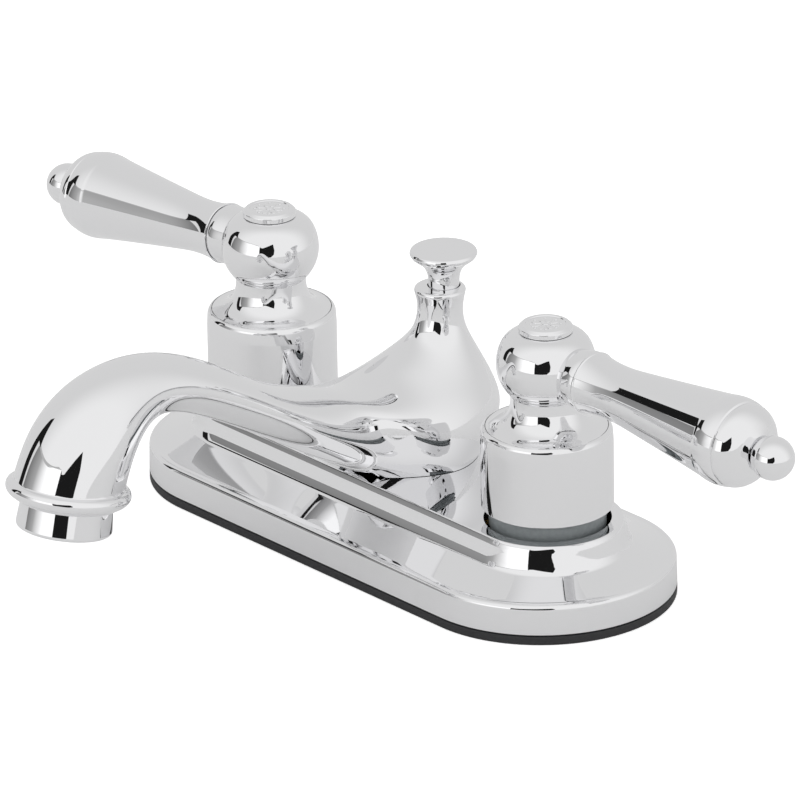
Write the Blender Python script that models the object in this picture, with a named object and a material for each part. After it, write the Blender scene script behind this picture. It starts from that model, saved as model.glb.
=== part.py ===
"""Centerset bathroom faucet: two lever handles, a teapot spout and a lift rod on one deck plate.

Every size is in millimetres, and add_piece turns it into Blender's metres. The origin is on the
deck under the middle of the plate. X runs to the cold side, -Y runs towards the user, and Z is up.
"""

import math

import bmesh
import bpy
import numpy as np
from mathutils import Matrix, Vector

MM = 0.001
SEAM = 0.3  # gap where one piece seats on another
ROUND_STEPS = 20
SMALL_STEPS = 12

# Deck plate and gasket
HUB_SPACING = 101.6  # the standard 4 inch drilling
PLATE_END_RADIUS = 32.4
PLATE_HALF_STRAIGHT = 48.7
GASKET_THICKNESS = 2.2
PLATE_DRAFT = 0.2  # how far the outer wall leans in over its height
RIM_HEIGHT = 10.1
RIM_ROUND = 1.1
PLATEAU_HEIGHT = 20.0
PLATEAU_RADIUS = 18.3
PLATEAU_WALL_DROP = 4.8  # from the plateau's top to the crease over the cove
PLATEAU_WALL_SPREAD = 1.7
PLATE_WALL = 2.2
HUB_HOLE_RADIUS = 12.9
SPOUT_HOLE_RADIUS = 7.9
PLATE_END_STEPS = 10

# Skirts round the valves
SKIRT_RADIUS = 16.0
SKIRT_WALL = 1.3
SKIRT_LIFT = 3.7  # from the plateau to the skirt's lower edge
SKIRT_LENGTH = 19.3
SKIRT_ROUND = 1.4
RING_RADIUS = 15.0
RING_HEIGHT = 3.1
RING_SPIGOT = 3.0

# Waterway: one brass casting, with a threaded shank under each end
WATERWAY_FLOOR = 3.0
CROSS_TUBE_RADIUS = 5.0
CROSS_TUBE_HEIGHT = 8.7
BOSS_RADIUS = 12.3
BOSS_LIFT = 4.2  # how far a boss stands over the plateau
SHANK_RADIUS = 10.4  # a half inch pipe thread
SHANK_BORE_RADIUS = 6.3
SHANK_LENGTH = 50.0
SPOUT_BOSS_RADIUS = 7.2
SPOUT_BOSS_TOP = 14.2
SHANK_HOLE_RADIUS = 13.2

# Valve cartridges
VALVE_BORE_RADIUS = 9.3
VALVE_BORE_FLOOR = 8.4
VALVE_CLEARANCE = 0.3
VALVE_FLANGE_RADIUS = 11.6
VALVE_FLANGE_THICKNESS = 1.7
VALVE_HEAD_RADIUS = 8.5
VALVE_HEAD_HEIGHT = 11.6
DISC_RADIUS = 7.7
DISC_THICKNESS = 2.2
SEAT_SEAL_THICKNESS = 1.5
PORT_RADIUS = 2.6
PORT_OFFSET = 4.1
STEM_RADIUS = 4.1
STEM_FOOT_THICKNESS = 1.8
STEM_CLEARANCE = 0.3
ORING_SECTION = 0.8
BONNET_ACROSS_FLATS = 24.0
BONNET_THICKNESS = 4.6

# Handles
BALL_RADIUS = 12.0
BALL_LIFT = 16.8  # from the skirt's top to the ball's centre
BALL_CROWN = 10.65  # the ball's upper half is this high, a little flatter than round
NECK_RADIUS = 8.6
NECK_LIFT = 8.9
BELL_RADIUS = 10.6
BELL_LIFT = 2.2
FOOT_RADIUS = 9.7
FOOT_DEPTH = 1.2
HANDLE_CLEARANCE = 0.5
CAP_RADIUS = 6.6
CAP_FACE_RADIUS = 5.7
CAP_HEIGHT = 1.9
CAP_SPIGOT_RADIUS = 4.2
CAP_SPIGOT_DEPTH = 2.0
SCREW_HEAD_RADIUS = 3.6
SCREW_SHANK_RADIUS = 1.9
SCREW_HEAD_HEIGHT = 2.4
SCREW_REACH = 9.0
LEVER_STEPS = 16
LEVER_COLLAR_START = 12.6  # from the handle's axis
LEVER_REACH = 73.4  # from the handle's axis to the finial's centre
LEVER_DROOP = 2.6  # degrees below level
LEVER_SWING = {"left": 3.7, "right": 4.3}  # degrees anticlockwise from straight out, as photographed
LEVER_SPIGOT_RADIUS = 4.0
LEVER_SPIGOT_LENGTH = 5.0
FINIAL_RADIUS = 5.35

# Spout: sections from the lip of the vase to the outlet, each a top point and an under point
# as (Y, Z over the plateau), and a half width
LIP_HEIGHT = 41.5  # over the plateau
LIP_RADIUS = 6.3
LIP_CENTRE = 10.9
VASE_NECK_RADIUS = 5.6
SPOUT_SECTIONS = [
    ((4.0, 31.3), (17.2, 31.0), 6.3),
    ((0.65, 28.2), (20.45, 23.85), 9.35),
    ((-4.8, 25.65), (24.5, 14.6), 13.5),
    ((-11.5, 23.2), (22.75, 5.65), 17.5),
    ((-19.9, 23.5), (11.65, -6.3), 18.4),
    ((-29.5, 26.35), (-3.4, -6.4), 13.6),
    ((-43.3, 31.35), (-30.2, 8.5), 11.1),
    ((-57.4, 39.5), (-49.65, 20.5), 9.3),
    ((-71.7, 46.85), (-66.4, 30.05), 8.7),
    ((-87.2, 50.0), (-77.8, 34.3), 9.0),
    ((-102.2, 46.55), (-84.6, 33.35), 10.9),
    ((-112.8, 37.4), (-89.25, 28.35), 12.7),
    ((-118.6, 26.2), (-92.1, 22.2), 13.3),
]
SPOUT_RING_SIDES = 20
SPOUT_RINGS_PER_SPAN = 2
OUTLET_TILT = 10.5  # degrees, the stream leans towards the user
BEAD_RADIUS = 15.0
BEAD_DROP = 2.3  # from the last section to the middle of the bead
BEAD_HALF_HEIGHT = 2.1
OUTLET_FACE_DROP = 4.9
OUTLET_FACE_RADIUS = 12.5
OUTLET_BORE_RADIUS = 11.1
OUTLET_BORE_DEPTH = 9.0
SPOUT_STUB_RADIUS = 7.5
SPOUT_SEAL_THICKNESS = 1.4
SPOUT_SCREW_RADIUS = 2.5

# Aerator
AERATOR_RADIUS = 11.65
AERATOR_VISIBLE = 6.6
AERATOR_WALL = 1.5
AERATOR_THREAD_RADIUS = 10.8
AERATOR_THREAD_LENGTH = 6.0
AERATOR_LIP = 1.0
SCREEN_THICKNESS = 3.0
SCREEN_HOLE_RADIUS = 1.1
SCREEN_HOLE_PITCH = 4.6
SCREEN_RINGS = 1
WASHER_THICKNESS = 1.6

# Lift rod
ROD_RADIUS = 1.6
ROD_OFFSET = 1.3  # the rod's bore lies this far behind the vase's axis
ROD_BELOW_DECK = 46.0
KNOB_RADIUS = 8.3
KNOB_LIFT = 9.2  # from the lip to the knob's top face
KNOB_NECK_RADIUS = 3.8
KNOB_NECK_DEPTH = 4.0  # how far the neck reaches into the bore
KNOB_BORE_CLEARANCE = 0.3
ROD_BORE_CLEARANCE = 0.6

# Mounting nuts under the sink
DECK_ROOM = 27.0
NUT_RADIUS = 17.0
NUT_THICKNESS = 7.0
NUT_WINGS = 4
NUT_WING_LENGTH = 6.0
NUT_WING_WIDTH = 4.5
DECK_WASHER_RADIUS = 16.0
DECK_WASHER_THICKNESS = 1.6

HUB_X = HUB_SPACING / 2
SIDES = {"left": -1, "right": 1}
PLATE_UNDERSIDE = GASKET_THICKNESS + SEAM
SKIRT_BOTTOM = PLATEAU_HEIGHT + SKIRT_LIFT
SKIRT_TOP = SKIRT_BOTTOM + SKIRT_LENGTH
BOSS_TOP = PLATEAU_HEIGHT + BOSS_LIFT
BALL_Z = SKIRT_TOP + BALL_LIFT
CROWN_SIDE = math.acos(CAP_RADIUS / BALL_RADIUS)
CAP_SEAT = BALL_Z + BALL_CROWN * math.sin(CROWN_SIDE)
LIP_Z = PLATEAU_HEIGHT + LIP_HEIGHT
ROD_Y = LIP_CENTRE + ROD_OFFSET
KNOB_TOP = LIP_Z + KNOB_LIFT
CLEAR = 1.0  # how far a cutter runs past what it cuts


def clear_scene():
    for obj in list(bpy.data.objects):
        bpy.data.objects.remove(obj, do_unlink=True)


def make_material(name, colour, metallic, roughness):
    material = bpy.data.materials.new(name)
    material.use_nodes = True
    shader = material.node_tree.nodes["Principled BSDF"]
    shader.inputs["Base Color"].default_value = (*colour, 1.0)
    shader.inputs["Metallic"].default_value = metallic
    shader.inputs["Roughness"].default_value = roughness
    return material


def arc(centre_r, centre_z, radius, start, end, steps):
    """Points of an arc in a turned profile, from one angle to another in degrees."""
    angles = (math.radians(start + (end - start) * i / steps) for i in range(steps + 1))
    return [(centre_r + radius * math.cos(a), centre_z + radius * math.sin(a)) for a in angles]


def turned(profile, steps=ROUND_STEPS, ring=False):
    """Spin (radius, height) points about Z. A ring's profile is closed and stays off the axis."""
    bm = bmesh.new()
    verts = [bm.verts.new((radius, 0.0, height)) for radius, height in profile]
    edges = [bm.edges.new(pair) for pair in zip(verts, verts[1:])]
    if ring:
        edges.append(bm.edges.new((verts[-1], verts[0])))
    bmesh.ops.spin(
        bm, geom=verts + edges, cent=(0, 0, 0), axis=(0, 0, 1),
        angle=math.tau, steps=steps, use_merge=True,
    )
    bmesh.ops.remove_doubles(bm, verts=bm.verts, dist=1e-4)
    bmesh.ops.recalc_face_normals(bm, faces=bm.faces)
    return bm


def rod(radius, low, high, steps=ROUND_STEPS):
    """A plain cylinder along Z."""
    return turned([(0, low), (radius, low), (radius, high), (0, high)], steps)


def tube(inner, outer, low, high, steps=ROUND_STEPS):
    """A plain ring with a square section."""
    return turned([(inner, low), (outer, low), (outer, high), (inner, high)], steps, ring=True)


def moved(bm, x=0.0, y=0.0, z=0.0, turn=None):
    if turn is not None:
        bmesh.ops.transform(bm, matrix=turn, verts=bm.verts)
    bmesh.ops.translate(bm, vec=(x, y, z), verts=bm.verts)
    return bm


def add_piece(name, bm, material, at=(0.0, 0.0, 0.0), parent=None):
    """Make a mesh object whose geometry is given about its own origin, which stands at a place in mm."""
    bmesh.ops.scale(bm, vec=(MM, MM, MM), verts=bm.verts)
    mesh = bpy.data.meshes.new(name)
    bm.to_mesh(mesh)
    bm.free()
    mesh.materials.append(material)
    mesh.shade_smooth()
    mesh.set_sharp_from_angle(angle=math.radians(35))
    obj = bpy.data.objects.new(name, mesh)
    bpy.context.scene.collection.objects.link(obj)
    obj.location = Vector(at) * MM
    obj.parent = parent
    return obj


def add_cutter(name, bm, at=(0.0, 0.0, 0.0), parent=None):
    cutter = add_piece(name, bm, MATERIALS["cutter"], at, parent)
    cutter.hide_render = True
    cutter.display_type = "WIRE"
    return cutter


def join(obj, cutter, operation):
    modifier = obj.modifiers.new(f"{operation.lower()}_{cutter.name}", "BOOLEAN")
    modifier.operation = operation
    modifier.solver = "EXACT"
    modifier.object = cutter


def add_empty(name, at, turn=0.0, parent=None):
    """An empty on a joint's axis, which carries the pieces that turn or slide with it."""
    empty = bpy.data.objects.new(name, None)
    bpy.context.scene.collection.objects.link(empty)
    empty.location = Vector(at) * MM
    empty.rotation_euler = (0.0, 0.0, math.radians(turn))
    empty.parent = parent
    return empty


def stadium_ring(bm, radius, height, half_straight):
    """One closed loop of edges: two half rounds joined by straight runs."""
    points = []
    for side, start in ((1, -90), (-1, 90)):
        for i in range(PLATE_END_STEPS + 1):
            angle = math.radians(start + 180 * i / PLATE_END_STEPS)
            x = side * half_straight + radius * math.cos(angle)
            points.append(bm.verts.new((x, radius * math.sin(angle), height)))
    return [bm.edges.new(pair) for pair in zip(points, points[1:] + points[:1])]


def stadium_stack(profile):
    """Join stadium loops through (radius, height, half straight) points, and close both ends."""
    bm = bmesh.new()
    loops = [stadium_ring(bm, *point) for point in profile]
    for lower, upper in zip(loops, loops[1:]):
        bmesh.ops.bridge_loops(bm, edges=lower + upper)
    bmesh.ops.holes_fill(bm, edges=bm.edges, sides=0)
    bmesh.ops.recalc_face_normals(bm, faces=bm.faces)
    return bm


def plate_profile(inset):
    """The plate's section from its lower edge to the plateau, moved in by a wall's thickness."""
    wall_foot = PLATEAU_HEIGHT - PLATEAU_WALL_DROP
    cove_outer = PLATE_END_RADIUS - PLATE_DRAFT - RIM_ROUND
    cove_inner = PLATEAU_RADIUS + PLATEAU_WALL_SPREAD
    run, rise = cove_outer - cove_inner, wall_foot - RIM_HEIGHT
    cove = (run**2 + rise**2) / (2 * rise)
    steepest = math.degrees(math.asin(run / cove))
    points = [(PLATE_END_RADIUS, PLATE_UNDERSIDE)]
    points += arc(cove_outer, RIM_HEIGHT - RIM_ROUND, RIM_ROUND, 0, 90, 2)
    points += arc(cove_outer, RIM_HEIGHT + cove, cove, -90, -90 - steepest, 5)[1:]
    for share, bulge in ((0.5, 0.3), (0.9, 0.15), (1.0, -0.2)):
        radius = cove_inner - PLATEAU_WALL_SPREAD * share + bulge
        points.append((radius, wall_foot + PLATEAU_WALL_DROP * share))
    if not inset:
        return points
    lowest = points[0][1]
    inner = [(points[0][0] - inset, lowest)]
    for radius, height in points[2:]:
        slope = min(max((cove_outer - radius) / run, 0.0), 1.0)
        inner.append((radius - inset * (0.35 + 0.65 * slope), height - inset * (1.0 - 0.55 * slope)))
    inner[-1] = (inner[-1][0], PLATEAU_HEIGHT - inset)
    return inner


def with_straights(profile):
    """Add each loop's half straight: the rim's own, growing to the hubs' at the plateau."""
    rounded = []
    for radius, height in profile:
        share = (PLATE_END_RADIUS - radius) / (PLATE_END_RADIUS - PLATEAU_RADIUS)
        share = min(max(share, 0.0), 1.0)
        rounded.append((radius, height, PLATE_HALF_STRAIGHT + share * (HUB_X - PLATE_HALF_STRAIGHT)))
    return rounded


def build_gasket():
    """A flat moulded pad that fills the gap between the plate and the sink."""
    outline = [(PLATE_END_RADIUS, 0.0, PLATE_HALF_STRAIGHT),
               (PLATE_END_RADIUS, GASKET_THICKNESS, PLATE_HALF_STRAIGHT)]
    gasket = add_piece("base_gasket", stadium_stack(outline), MATERIALS["rubber"])
    for side, sign in SIDES.items():
        hole = rod(SHANK_HOLE_RADIUS, -CLEAR, GASKET_THICKNESS + CLEAR)
        join(gasket, add_cutter(f"gasket_hole_{side}", moved(hole, x=sign * HUB_X)), "DIFFERENCE")
    rod_hole = rod(ROD_RADIUS + ROD_BORE_CLEARANCE, -CLEAR, GASKET_THICKNESS + CLEAR, SMALL_STEPS)
    join(gasket, add_cutter("gasket_rod_hole", moved(rod_hole, y=ROD_Y)), "DIFFERENCE")


def build_deck_plate():
    """A die-cast shell: a rim, a cove and a raised plateau that carries the hubs and the spout."""
    plate = add_piece("deck_plate", stadium_stack(with_straights(plate_profile(0))), MATERIALS["chrome"])
    inside = with_straights(plate_profile(PLATE_WALL))
    inside[0] = (inside[0][0], inside[0][1] - CLEAR, inside[0][2])
    join(plate, add_cutter("plate_inside", stadium_stack(inside)), "DIFFERENCE")
    low, high = PLATEAU_HEIGHT - PLATE_WALL - CLEAR, PLATEAU_HEIGHT + CLEAR
    for side, sign in SIDES.items():
        hole = moved(rod(HUB_HOLE_RADIUS, low, high), x=sign * HUB_X)
        join(plate, add_cutter(f"hub_hole_{side}", hole), "DIFFERENCE")
    join(plate, add_cutter("spout_hole", rod(SPOUT_HOLE_RADIUS, low, high)), "DIFFERENCE")
    rod_hole = moved(rod(ROD_RADIUS + ROD_BORE_CLEARANCE, low, high, SMALL_STEPS), y=ROD_Y)
    join(plate, add_cutter("plate_rod_hole", rod_hole), "DIFFERENCE")


def build_waterway():
    """The brass casting under the plate: a cross tube, and a boss that takes each valve and its shank."""
    across = Matrix.Rotation(math.radians(90), 4, "Y")
    reach = HUB_X - BOSS_RADIUS / 2
    body = add_piece(
        "waterway_body",
        moved(rod(CROSS_TUBE_RADIUS, -reach, reach, SMALL_STEPS), z=CROSS_TUBE_HEIGHT, turn=across),
        MATERIALS["brass"],
    )
    spout_boss = rod(SPOUT_BOSS_RADIUS, WATERWAY_FLOOR, SPOUT_BOSS_TOP, SMALL_STEPS)
    join(body, add_cutter("spout_boss", spout_boss), "UNION")
    for side, sign in SIDES.items():
        boss = moved(rod(BOSS_RADIUS, WATERWAY_FLOOR, BOSS_TOP), x=sign * HUB_X)
        join(body, add_cutter(f"boss_{side}", boss), "UNION")
    for side, sign in SIDES.items():
        bore = turned([
            (0, WATERWAY_FLOOR - CLEAR), (PORT_RADIUS + 0.6, WATERWAY_FLOOR - CLEAR),
            (PORT_RADIUS + 0.6, VALVE_BORE_FLOOR), (VALVE_BORE_RADIUS, VALVE_BORE_FLOOR),
            (VALVE_BORE_RADIUS, BOSS_TOP + CLEAR), (0, BOSS_TOP + CLEAR),
        ])
        join(body, add_cutter(f"bore_{side}", moved(bore, x=sign * HUB_X)), "DIFFERENCE")
    tapped = rod(SPOUT_SCREW_RADIUS + SEAM, WATERWAY_FLOOR - CLEAR, SPOUT_BOSS_TOP + CLEAR, SMALL_STEPS)
    join(body, add_cutter("spout_screw_hole", tapped), "DIFFERENCE")


def build_shank(side, sign):
    """The threaded brass tube that is brazed under a boss and takes the supply hose."""
    shank = turned([
        (SHANK_BORE_RADIUS, -SHANK_LENGTH), (SHANK_RADIUS - 0.8, -SHANK_LENGTH),
        (SHANK_RADIUS, -SHANK_LENGTH + 0.8), (SHANK_RADIUS, WATERWAY_FLOOR - SEAM),
        (SHANK_BORE_RADIUS, WATERWAY_FLOOR - SEAM),
    ], ring=True)
    add_piece(f"{side}_shank", moved(shank, x=sign * HUB_X), MATERIALS["brass"])


def build_valve(side, sign, axis):
    """A ceramic disc cartridge: seal, fixed disc, moving disc, stem, housing, bonnet nut and O-ring."""
    x = sign * HUB_X
    seal_low = VALVE_BORE_FLOOR + SEAM
    fixed_low = seal_low + SEAT_SEAL_THICKNESS + SEAM
    moving_low = fixed_low + DISC_THICKNESS + SEAM
    foot_low = moving_low + DISC_THICKNESS + SEAM
    foot_high = foot_low + STEM_FOOT_THICKNESS
    flange_low = BOSS_TOP + SEAM
    flange_high = flange_low + VALVE_FLANGE_THICKNESS
    head_top = flange_high + VALVE_HEAD_HEIGHT
    stem_bore = STEM_RADIUS + STEM_CLEARANCE
    barrel = VALVE_BORE_RADIUS - VALVE_CLEARANCE

    seal = tube(PORT_RADIUS + 1.2, DISC_RADIUS, seal_low, seal_low + SEAT_SEAL_THICKNESS, SMALL_STEPS)
    add_piece(f"{side}_seat_seal", moved(seal, x=x), MATERIALS["rubber"])

    fixed = add_piece(
        f"{side}_fixed_disc",
        moved(rod(DISC_RADIUS, fixed_low, fixed_low + DISC_THICKNESS, SMALL_STEPS), x=x),
        MATERIALS["ceramic"],
    )
    moving = add_piece(
        f"{side}_moving_disc",
        rod(DISC_RADIUS, moving_low, moving_low + DISC_THICKNESS, SMALL_STEPS),
        MATERIALS["ceramic"], parent=axis,
    )
    for number, turn in enumerate((1, -1)):
        port = rod(PORT_RADIUS, fixed_low - CLEAR, fixed_low + DISC_THICKNESS + CLEAR, 12)
        port = moved(port, x=x, y=turn * PORT_OFFSET)
        join(fixed, add_cutter(f"{side}_fixed_port_{number}", port), "DIFFERENCE")
        port = rod(PORT_RADIUS, moving_low - CLEAR, moving_low + DISC_THICKNESS + CLEAR, 12)
        port = moved(port, x=turn * PORT_OFFSET)
        join(moving, add_cutter(f"{side}_moving_port_{number}", port, parent=axis), "DIFFERENCE")

    groove = stem_bore + 2 * ORING_SECTION
    groove_floor = head_top - 2 * ORING_SECTION - 1.0
    housing = turned([
        (DISC_RADIUS + SEAM, seal_low), (barrel, seal_low), (barrel, flange_low),
        (VALVE_FLANGE_RADIUS, flange_low), (VALVE_FLANGE_RADIUS, flange_high),
        (VALVE_HEAD_RADIUS, flange_high), (VALVE_HEAD_RADIUS, head_top), (groove, head_top),
        (groove, groove_floor), (stem_bore, groove_floor), (stem_bore, foot_high + SEAM),
        (DISC_RADIUS + SEAM, foot_high + SEAM),
    ], SMALL_STEPS, ring=True)
    add_piece(f"{side}_valve_housing", moved(housing, x=x), MATERIALS["brass"])

    middle = groove_floor + ORING_SECTION + 0.1
    oring_radius = STEM_RADIUS + 0.2 + ORING_SECTION
    oring = turned(arc(oring_radius, middle, ORING_SECTION, 0, 300, 5), SMALL_STEPS, ring=True)
    add_piece(f"{side}_stem_o_ring", moved(oring, x=x), MATERIALS["rubber"])

    nut = bmesh.new()
    nut_low = flange_high + SEAM
    bmesh.ops.create_cone(
        nut, cap_ends=True, segments=6, radius1=BONNET_ACROSS_FLATS / math.sqrt(3),
        radius2=BONNET_ACROSS_FLATS / math.sqrt(3), depth=BONNET_THICKNESS,
    )
    nut = add_piece(
        f"{side}_bonnet_nut", moved(nut, x=x, z=nut_low + BONNET_THICKNESS / 2), MATERIALS["brass"]
    )
    nut_bore = rod(VALVE_HEAD_RADIUS + SEAM, nut_low - CLEAR, nut_low + BONNET_THICKNESS + CLEAR)
    join(nut, add_cutter(f"{side}_nut_bore", moved(nut_bore, x=x)), "DIFFERENCE")

    stem_top = BALL_Z - SCREW_HEAD_HEIGHT
    tapped = SCREW_SHANK_RADIUS + SEAM
    stem = turned([
        (0, foot_low), (DISC_RADIUS, foot_low), (DISC_RADIUS, foot_high), (STEM_RADIUS, foot_high),
        (STEM_RADIUS, stem_top - 0.5), (STEM_RADIUS - 0.5, stem_top), (tapped, stem_top),
        (tapped, stem_top - SCREW_REACH), (0, stem_top - SCREW_REACH),
    ], SMALL_STEPS)
    add_piece(f"{side}_stem", stem, MATERIALS["brass"], parent=axis)


def build_skirt(side, sign):
    """The chrome sleeve over the valve, and the grey plastic ring that it stands on."""
    x = sign * HUB_X
    inner = SKIRT_RADIUS - SKIRT_WALL
    hole = FOOT_RADIUS + HANDLE_CLEARANCE
    profile = [(inner, SKIRT_BOTTOM), (SKIRT_RADIUS, SKIRT_BOTTOM)]
    profile += arc(SKIRT_RADIUS - SKIRT_ROUND, SKIRT_TOP - SKIRT_ROUND, SKIRT_ROUND, 0, 90, 3)
    profile += [(hole, SKIRT_TOP), (hole, SKIRT_TOP - SKIRT_WALL), (inner, SKIRT_TOP - SKIRT_WALL)]
    add_piece(f"{side}_skirt", moved(turned(profile, ring=True), x=x), MATERIALS["chrome"])

    low = PLATEAU_HEIGHT + SEAM
    high = low + RING_HEIGHT
    spigot = inner - SEAM
    ring = turned([
        (BOSS_RADIUS + SEAM, low), (RING_RADIUS, low), (RING_RADIUS, high), (spigot, high),
        (spigot, high + RING_SPIGOT), (BOSS_RADIUS + SEAM, high + RING_SPIGOT),
    ], ring=True)
    add_piece(f"{side}_skirt_ring", moved(ring, x=x), MATERIALS["grey_plastic"])


def build_handle(side, sign, axis):
    """The handle that turns on the stem: a turned hub with a ball, its lever, screw and index cap."""
    screw_seat = BALL_Z + 1.5
    bore = STEM_RADIUS + SEAM
    counterbore = CAP_SPIGOT_RADIUS + SEAM
    bell_z = SKIRT_TOP + BELL_LIFT
    neck_z = SKIRT_TOP + NECK_LIFT
    neck_side = math.degrees(math.acos(NECK_RADIUS / BALL_RADIUS))
    profile = [
        (bore, SKIRT_TOP - FOOT_DEPTH), (FOOT_RADIUS, SKIRT_TOP - FOOT_DEPTH),
        (FOOT_RADIUS, SKIRT_TOP + 1.4), (BELL_RADIUS - 0.3, SKIRT_TOP + 1.4),
        (BELL_RADIUS, bell_z), (BELL_RADIUS - 0.4, bell_z + 2.6), (NECK_RADIUS, neck_z - 1.0),
    ]
    profile += arc(0, BALL_Z, BALL_RADIUS, -neck_side, 0, 4)[1:]
    for step in range(1, 5):
        rise = CROWN_SIDE * step / 4
        profile.append((BALL_RADIUS * math.cos(rise), BALL_Z + BALL_CROWN * math.sin(rise)))
    profile += [
        (counterbore, CAP_SEAT), (counterbore, screw_seat), (SCREW_SHANK_RADIUS + SEAM, screw_seat),
        (SCREW_SHANK_RADIUS + SEAM, BALL_Z - SCREW_HEAD_HEIGHT + SEAM),
        (bore, BALL_Z - SCREW_HEAD_HEIGHT + SEAM),
    ]
    hub = add_piece(f"{side}_handle_hub", turned(profile, ring=True), MATERIALS["chrome"], parent=axis)

    outward = Matrix.Rotation(math.radians(90 + LEVER_DROOP), 4, "Y")
    if sign < 0:
        outward = Matrix.Rotation(math.pi, 4, "Z") @ outward
    start = LEVER_COLLAR_START - SEAM
    root = turned([
        (0, BALL_RADIUS - 4.0), (6.4, BALL_RADIUS - 4.0), (6.5, start - 0.3), (6.2, start), (0, start),
    ], SMALL_STEPS)
    join(hub, add_cutter(f"{side}_lever_seat", moved(root, z=BALL_Z, turn=outward), parent=axis), "UNION")
    socket = rod(LEVER_SPIGOT_RADIUS + SEAM, start - LEVER_SPIGOT_LENGTH - SEAM, start + CLEAR, SMALL_STEPS)
    cut = add_cutter(f"{side}_lever_socket", moved(socket, z=BALL_Z, turn=outward), parent=axis)
    join(hub, cut, "DIFFERENCE")

    lever = turned(lever_profile(), LEVER_STEPS)
    add_piece(f"{side}_lever", moved(lever, z=BALL_Z, turn=outward), MATERIALS["chrome"], parent=axis)

    shank_low = BALL_Z - SCREW_HEAD_HEIGHT - SCREW_REACH + 1.0
    head_low = screw_seat + SEAM
    screw = turned([
        (0, shank_low), (SCREW_SHANK_RADIUS, shank_low + 0.4), (SCREW_SHANK_RADIUS, head_low),
        (SCREW_HEAD_RADIUS, head_low), (SCREW_HEAD_RADIUS, head_low + SCREW_HEAD_HEIGHT - 0.6),
        (SCREW_HEAD_RADIUS - 0.8, head_low + SCREW_HEAD_HEIGHT), (1.3, head_low + SCREW_HEAD_HEIGHT),
        (1.0, head_low + 1.0), (0, head_low + 1.0),
    ], SMALL_STEPS)
    add_piece(f"{side}_handle_screw", screw, MATERIALS["steel"], parent=axis)

    seat = CAP_SEAT + SEAM
    top = seat + CAP_HEIGHT
    cap = turned([
        (0, seat - CAP_SPIGOT_DEPTH), (CAP_SPIGOT_RADIUS, seat - CAP_SPIGOT_DEPTH),
        (CAP_SPIGOT_RADIUS, seat), (CAP_RADIUS, seat), (CAP_RADIUS - 0.1, top - 0.9),
        (CAP_FACE_RADIUS, top), (0, top),
    ])
    add_piece(f"{side}_index_cap", cap, MATERIALS["chrome"], parent=axis)


def lever_profile():
    """The lever's outline along its own axis: spigot, collar, waist, long taper, shoulder and finial."""
    collar = LEVER_COLLAR_START
    length = LEVER_REACH - FINIAL_RADIUS - collar
    spigot = collar - LEVER_SPIGOT_LENGTH
    points = [(0, spigot), (LEVER_SPIGOT_RADIUS, spigot), (LEVER_SPIGOT_RADIUS, collar)]
    points += [(6.9, collar), (7.5, collar + 0.9), (7.3, collar + 2.3), (6.8, collar + 3.0), (6.6, collar + 6.2)]
    for share, radius in (
        (0.2, 6.55), (0.3, 7.0), (0.42, 7.85), (0.62, 9.25), (0.76, 10.2), (0.85, 10.65),
    ):
        points.append((radius, collar + length * share))
    shoulder = collar + length * 0.885
    points += [(10.5, shoulder), (10.25, shoulder + 0.5), (10.3, shoulder + 1.0)]
    end = LEVER_REACH - FINIAL_RADIUS * 0.8
    points += [(9.9, shoulder + 2.2), (8.5, shoulder + 4.3), (5.4, end - 0.5)]
    waist = math.degrees(math.acos(0.78))
    points += [(FINIAL_RADIUS * 0.78, end)]
    points += arc(0, LEVER_REACH, FINIAL_RADIUS, -waist, 90, 6)[1:]
    return points


def natural_spline(rows, per_span):
    """A natural cubic through the rows, read at even steps between them."""
    rows = np.array(rows, float)
    count = len(rows)
    system = np.eye(count)
    right = np.zeros_like(rows)
    for i in range(1, count - 1):
        system[i, i - 1:i + 2] = (1, 4, 1)
        right[i] = 6 * (rows[i - 1] - 2 * rows[i] + rows[i + 1])
    bend = np.linalg.solve(system, right)
    found = []
    for step in range((count - 1) * per_span + 1):
        i = min(step // per_span, count - 2)
        b = step / per_span - i
        a = 1 - b
        curve = (a**3 - a) * bend[i] + (b**3 - b) * bend[i + 1]
        found.append(a * rows[i] + b * rows[i + 1] + curve / 6)
    return found


def spout_rows():
    """The sections as rows of top Y and Z, under Y and Z, and half width, with the lip's own first."""
    lip = LIP_CENTRE
    rows = [
        (lip - LIP_RADIUS, LIP_Z - 1.0, lip + LIP_RADIUS, LIP_Z - 1.0, LIP_RADIUS),
        (lip - VASE_NECK_RADIUS, LIP_Z - 5.2, lip + VASE_NECK_RADIUS, LIP_Z - 5.2, VASE_NECK_RADIUS),
    ]
    for top, under, half_width in SPOUT_SECTIONS:
        rows.append((top[0], top[1] + PLATEAU_HEIGHT, under[0], under[1] + PLATEAU_HEIGHT, half_width))
    return rows


def outlet_frame():
    """Where the last section's centre lies, and which way the stream leaves."""
    top_y, top_z, under_y, under_z, _ = spout_rows()[-1]
    tilt = math.radians(OUTLET_TILT)
    centre = Vector((0.0, (top_y + under_y) / 2, (top_z + under_z) / 2))
    return centre, Vector((0.0, -math.sin(tilt), -math.cos(tilt)))


def outlet_matrix():
    """Turn a shape that is drawn along +Z so that it runs down the outlet's axis."""
    centre, down = outlet_frame()
    return Matrix.Translation(centre) @ Vector((0, 0, 1)).rotation_difference(down).to_matrix().to_4x4()


def section_matrix(row):
    """Place a unit circle as one section of the spout."""
    top_y, top_z, under_y, under_z, half_width = row
    centre = Vector((0.0, (top_y + under_y) / 2, (top_z + under_z) / 2))
    rise = Vector((0.0, (top_y - under_y) / 2, (top_z - under_z) / 2))
    side = Vector((half_width, 0.0, 0.0))
    matrix = Matrix.Identity(4)
    for column, vector in enumerate((side, rise, side.cross(rise).normalized(), centre)):
        matrix.col[column][:3] = vector
    return matrix


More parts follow.
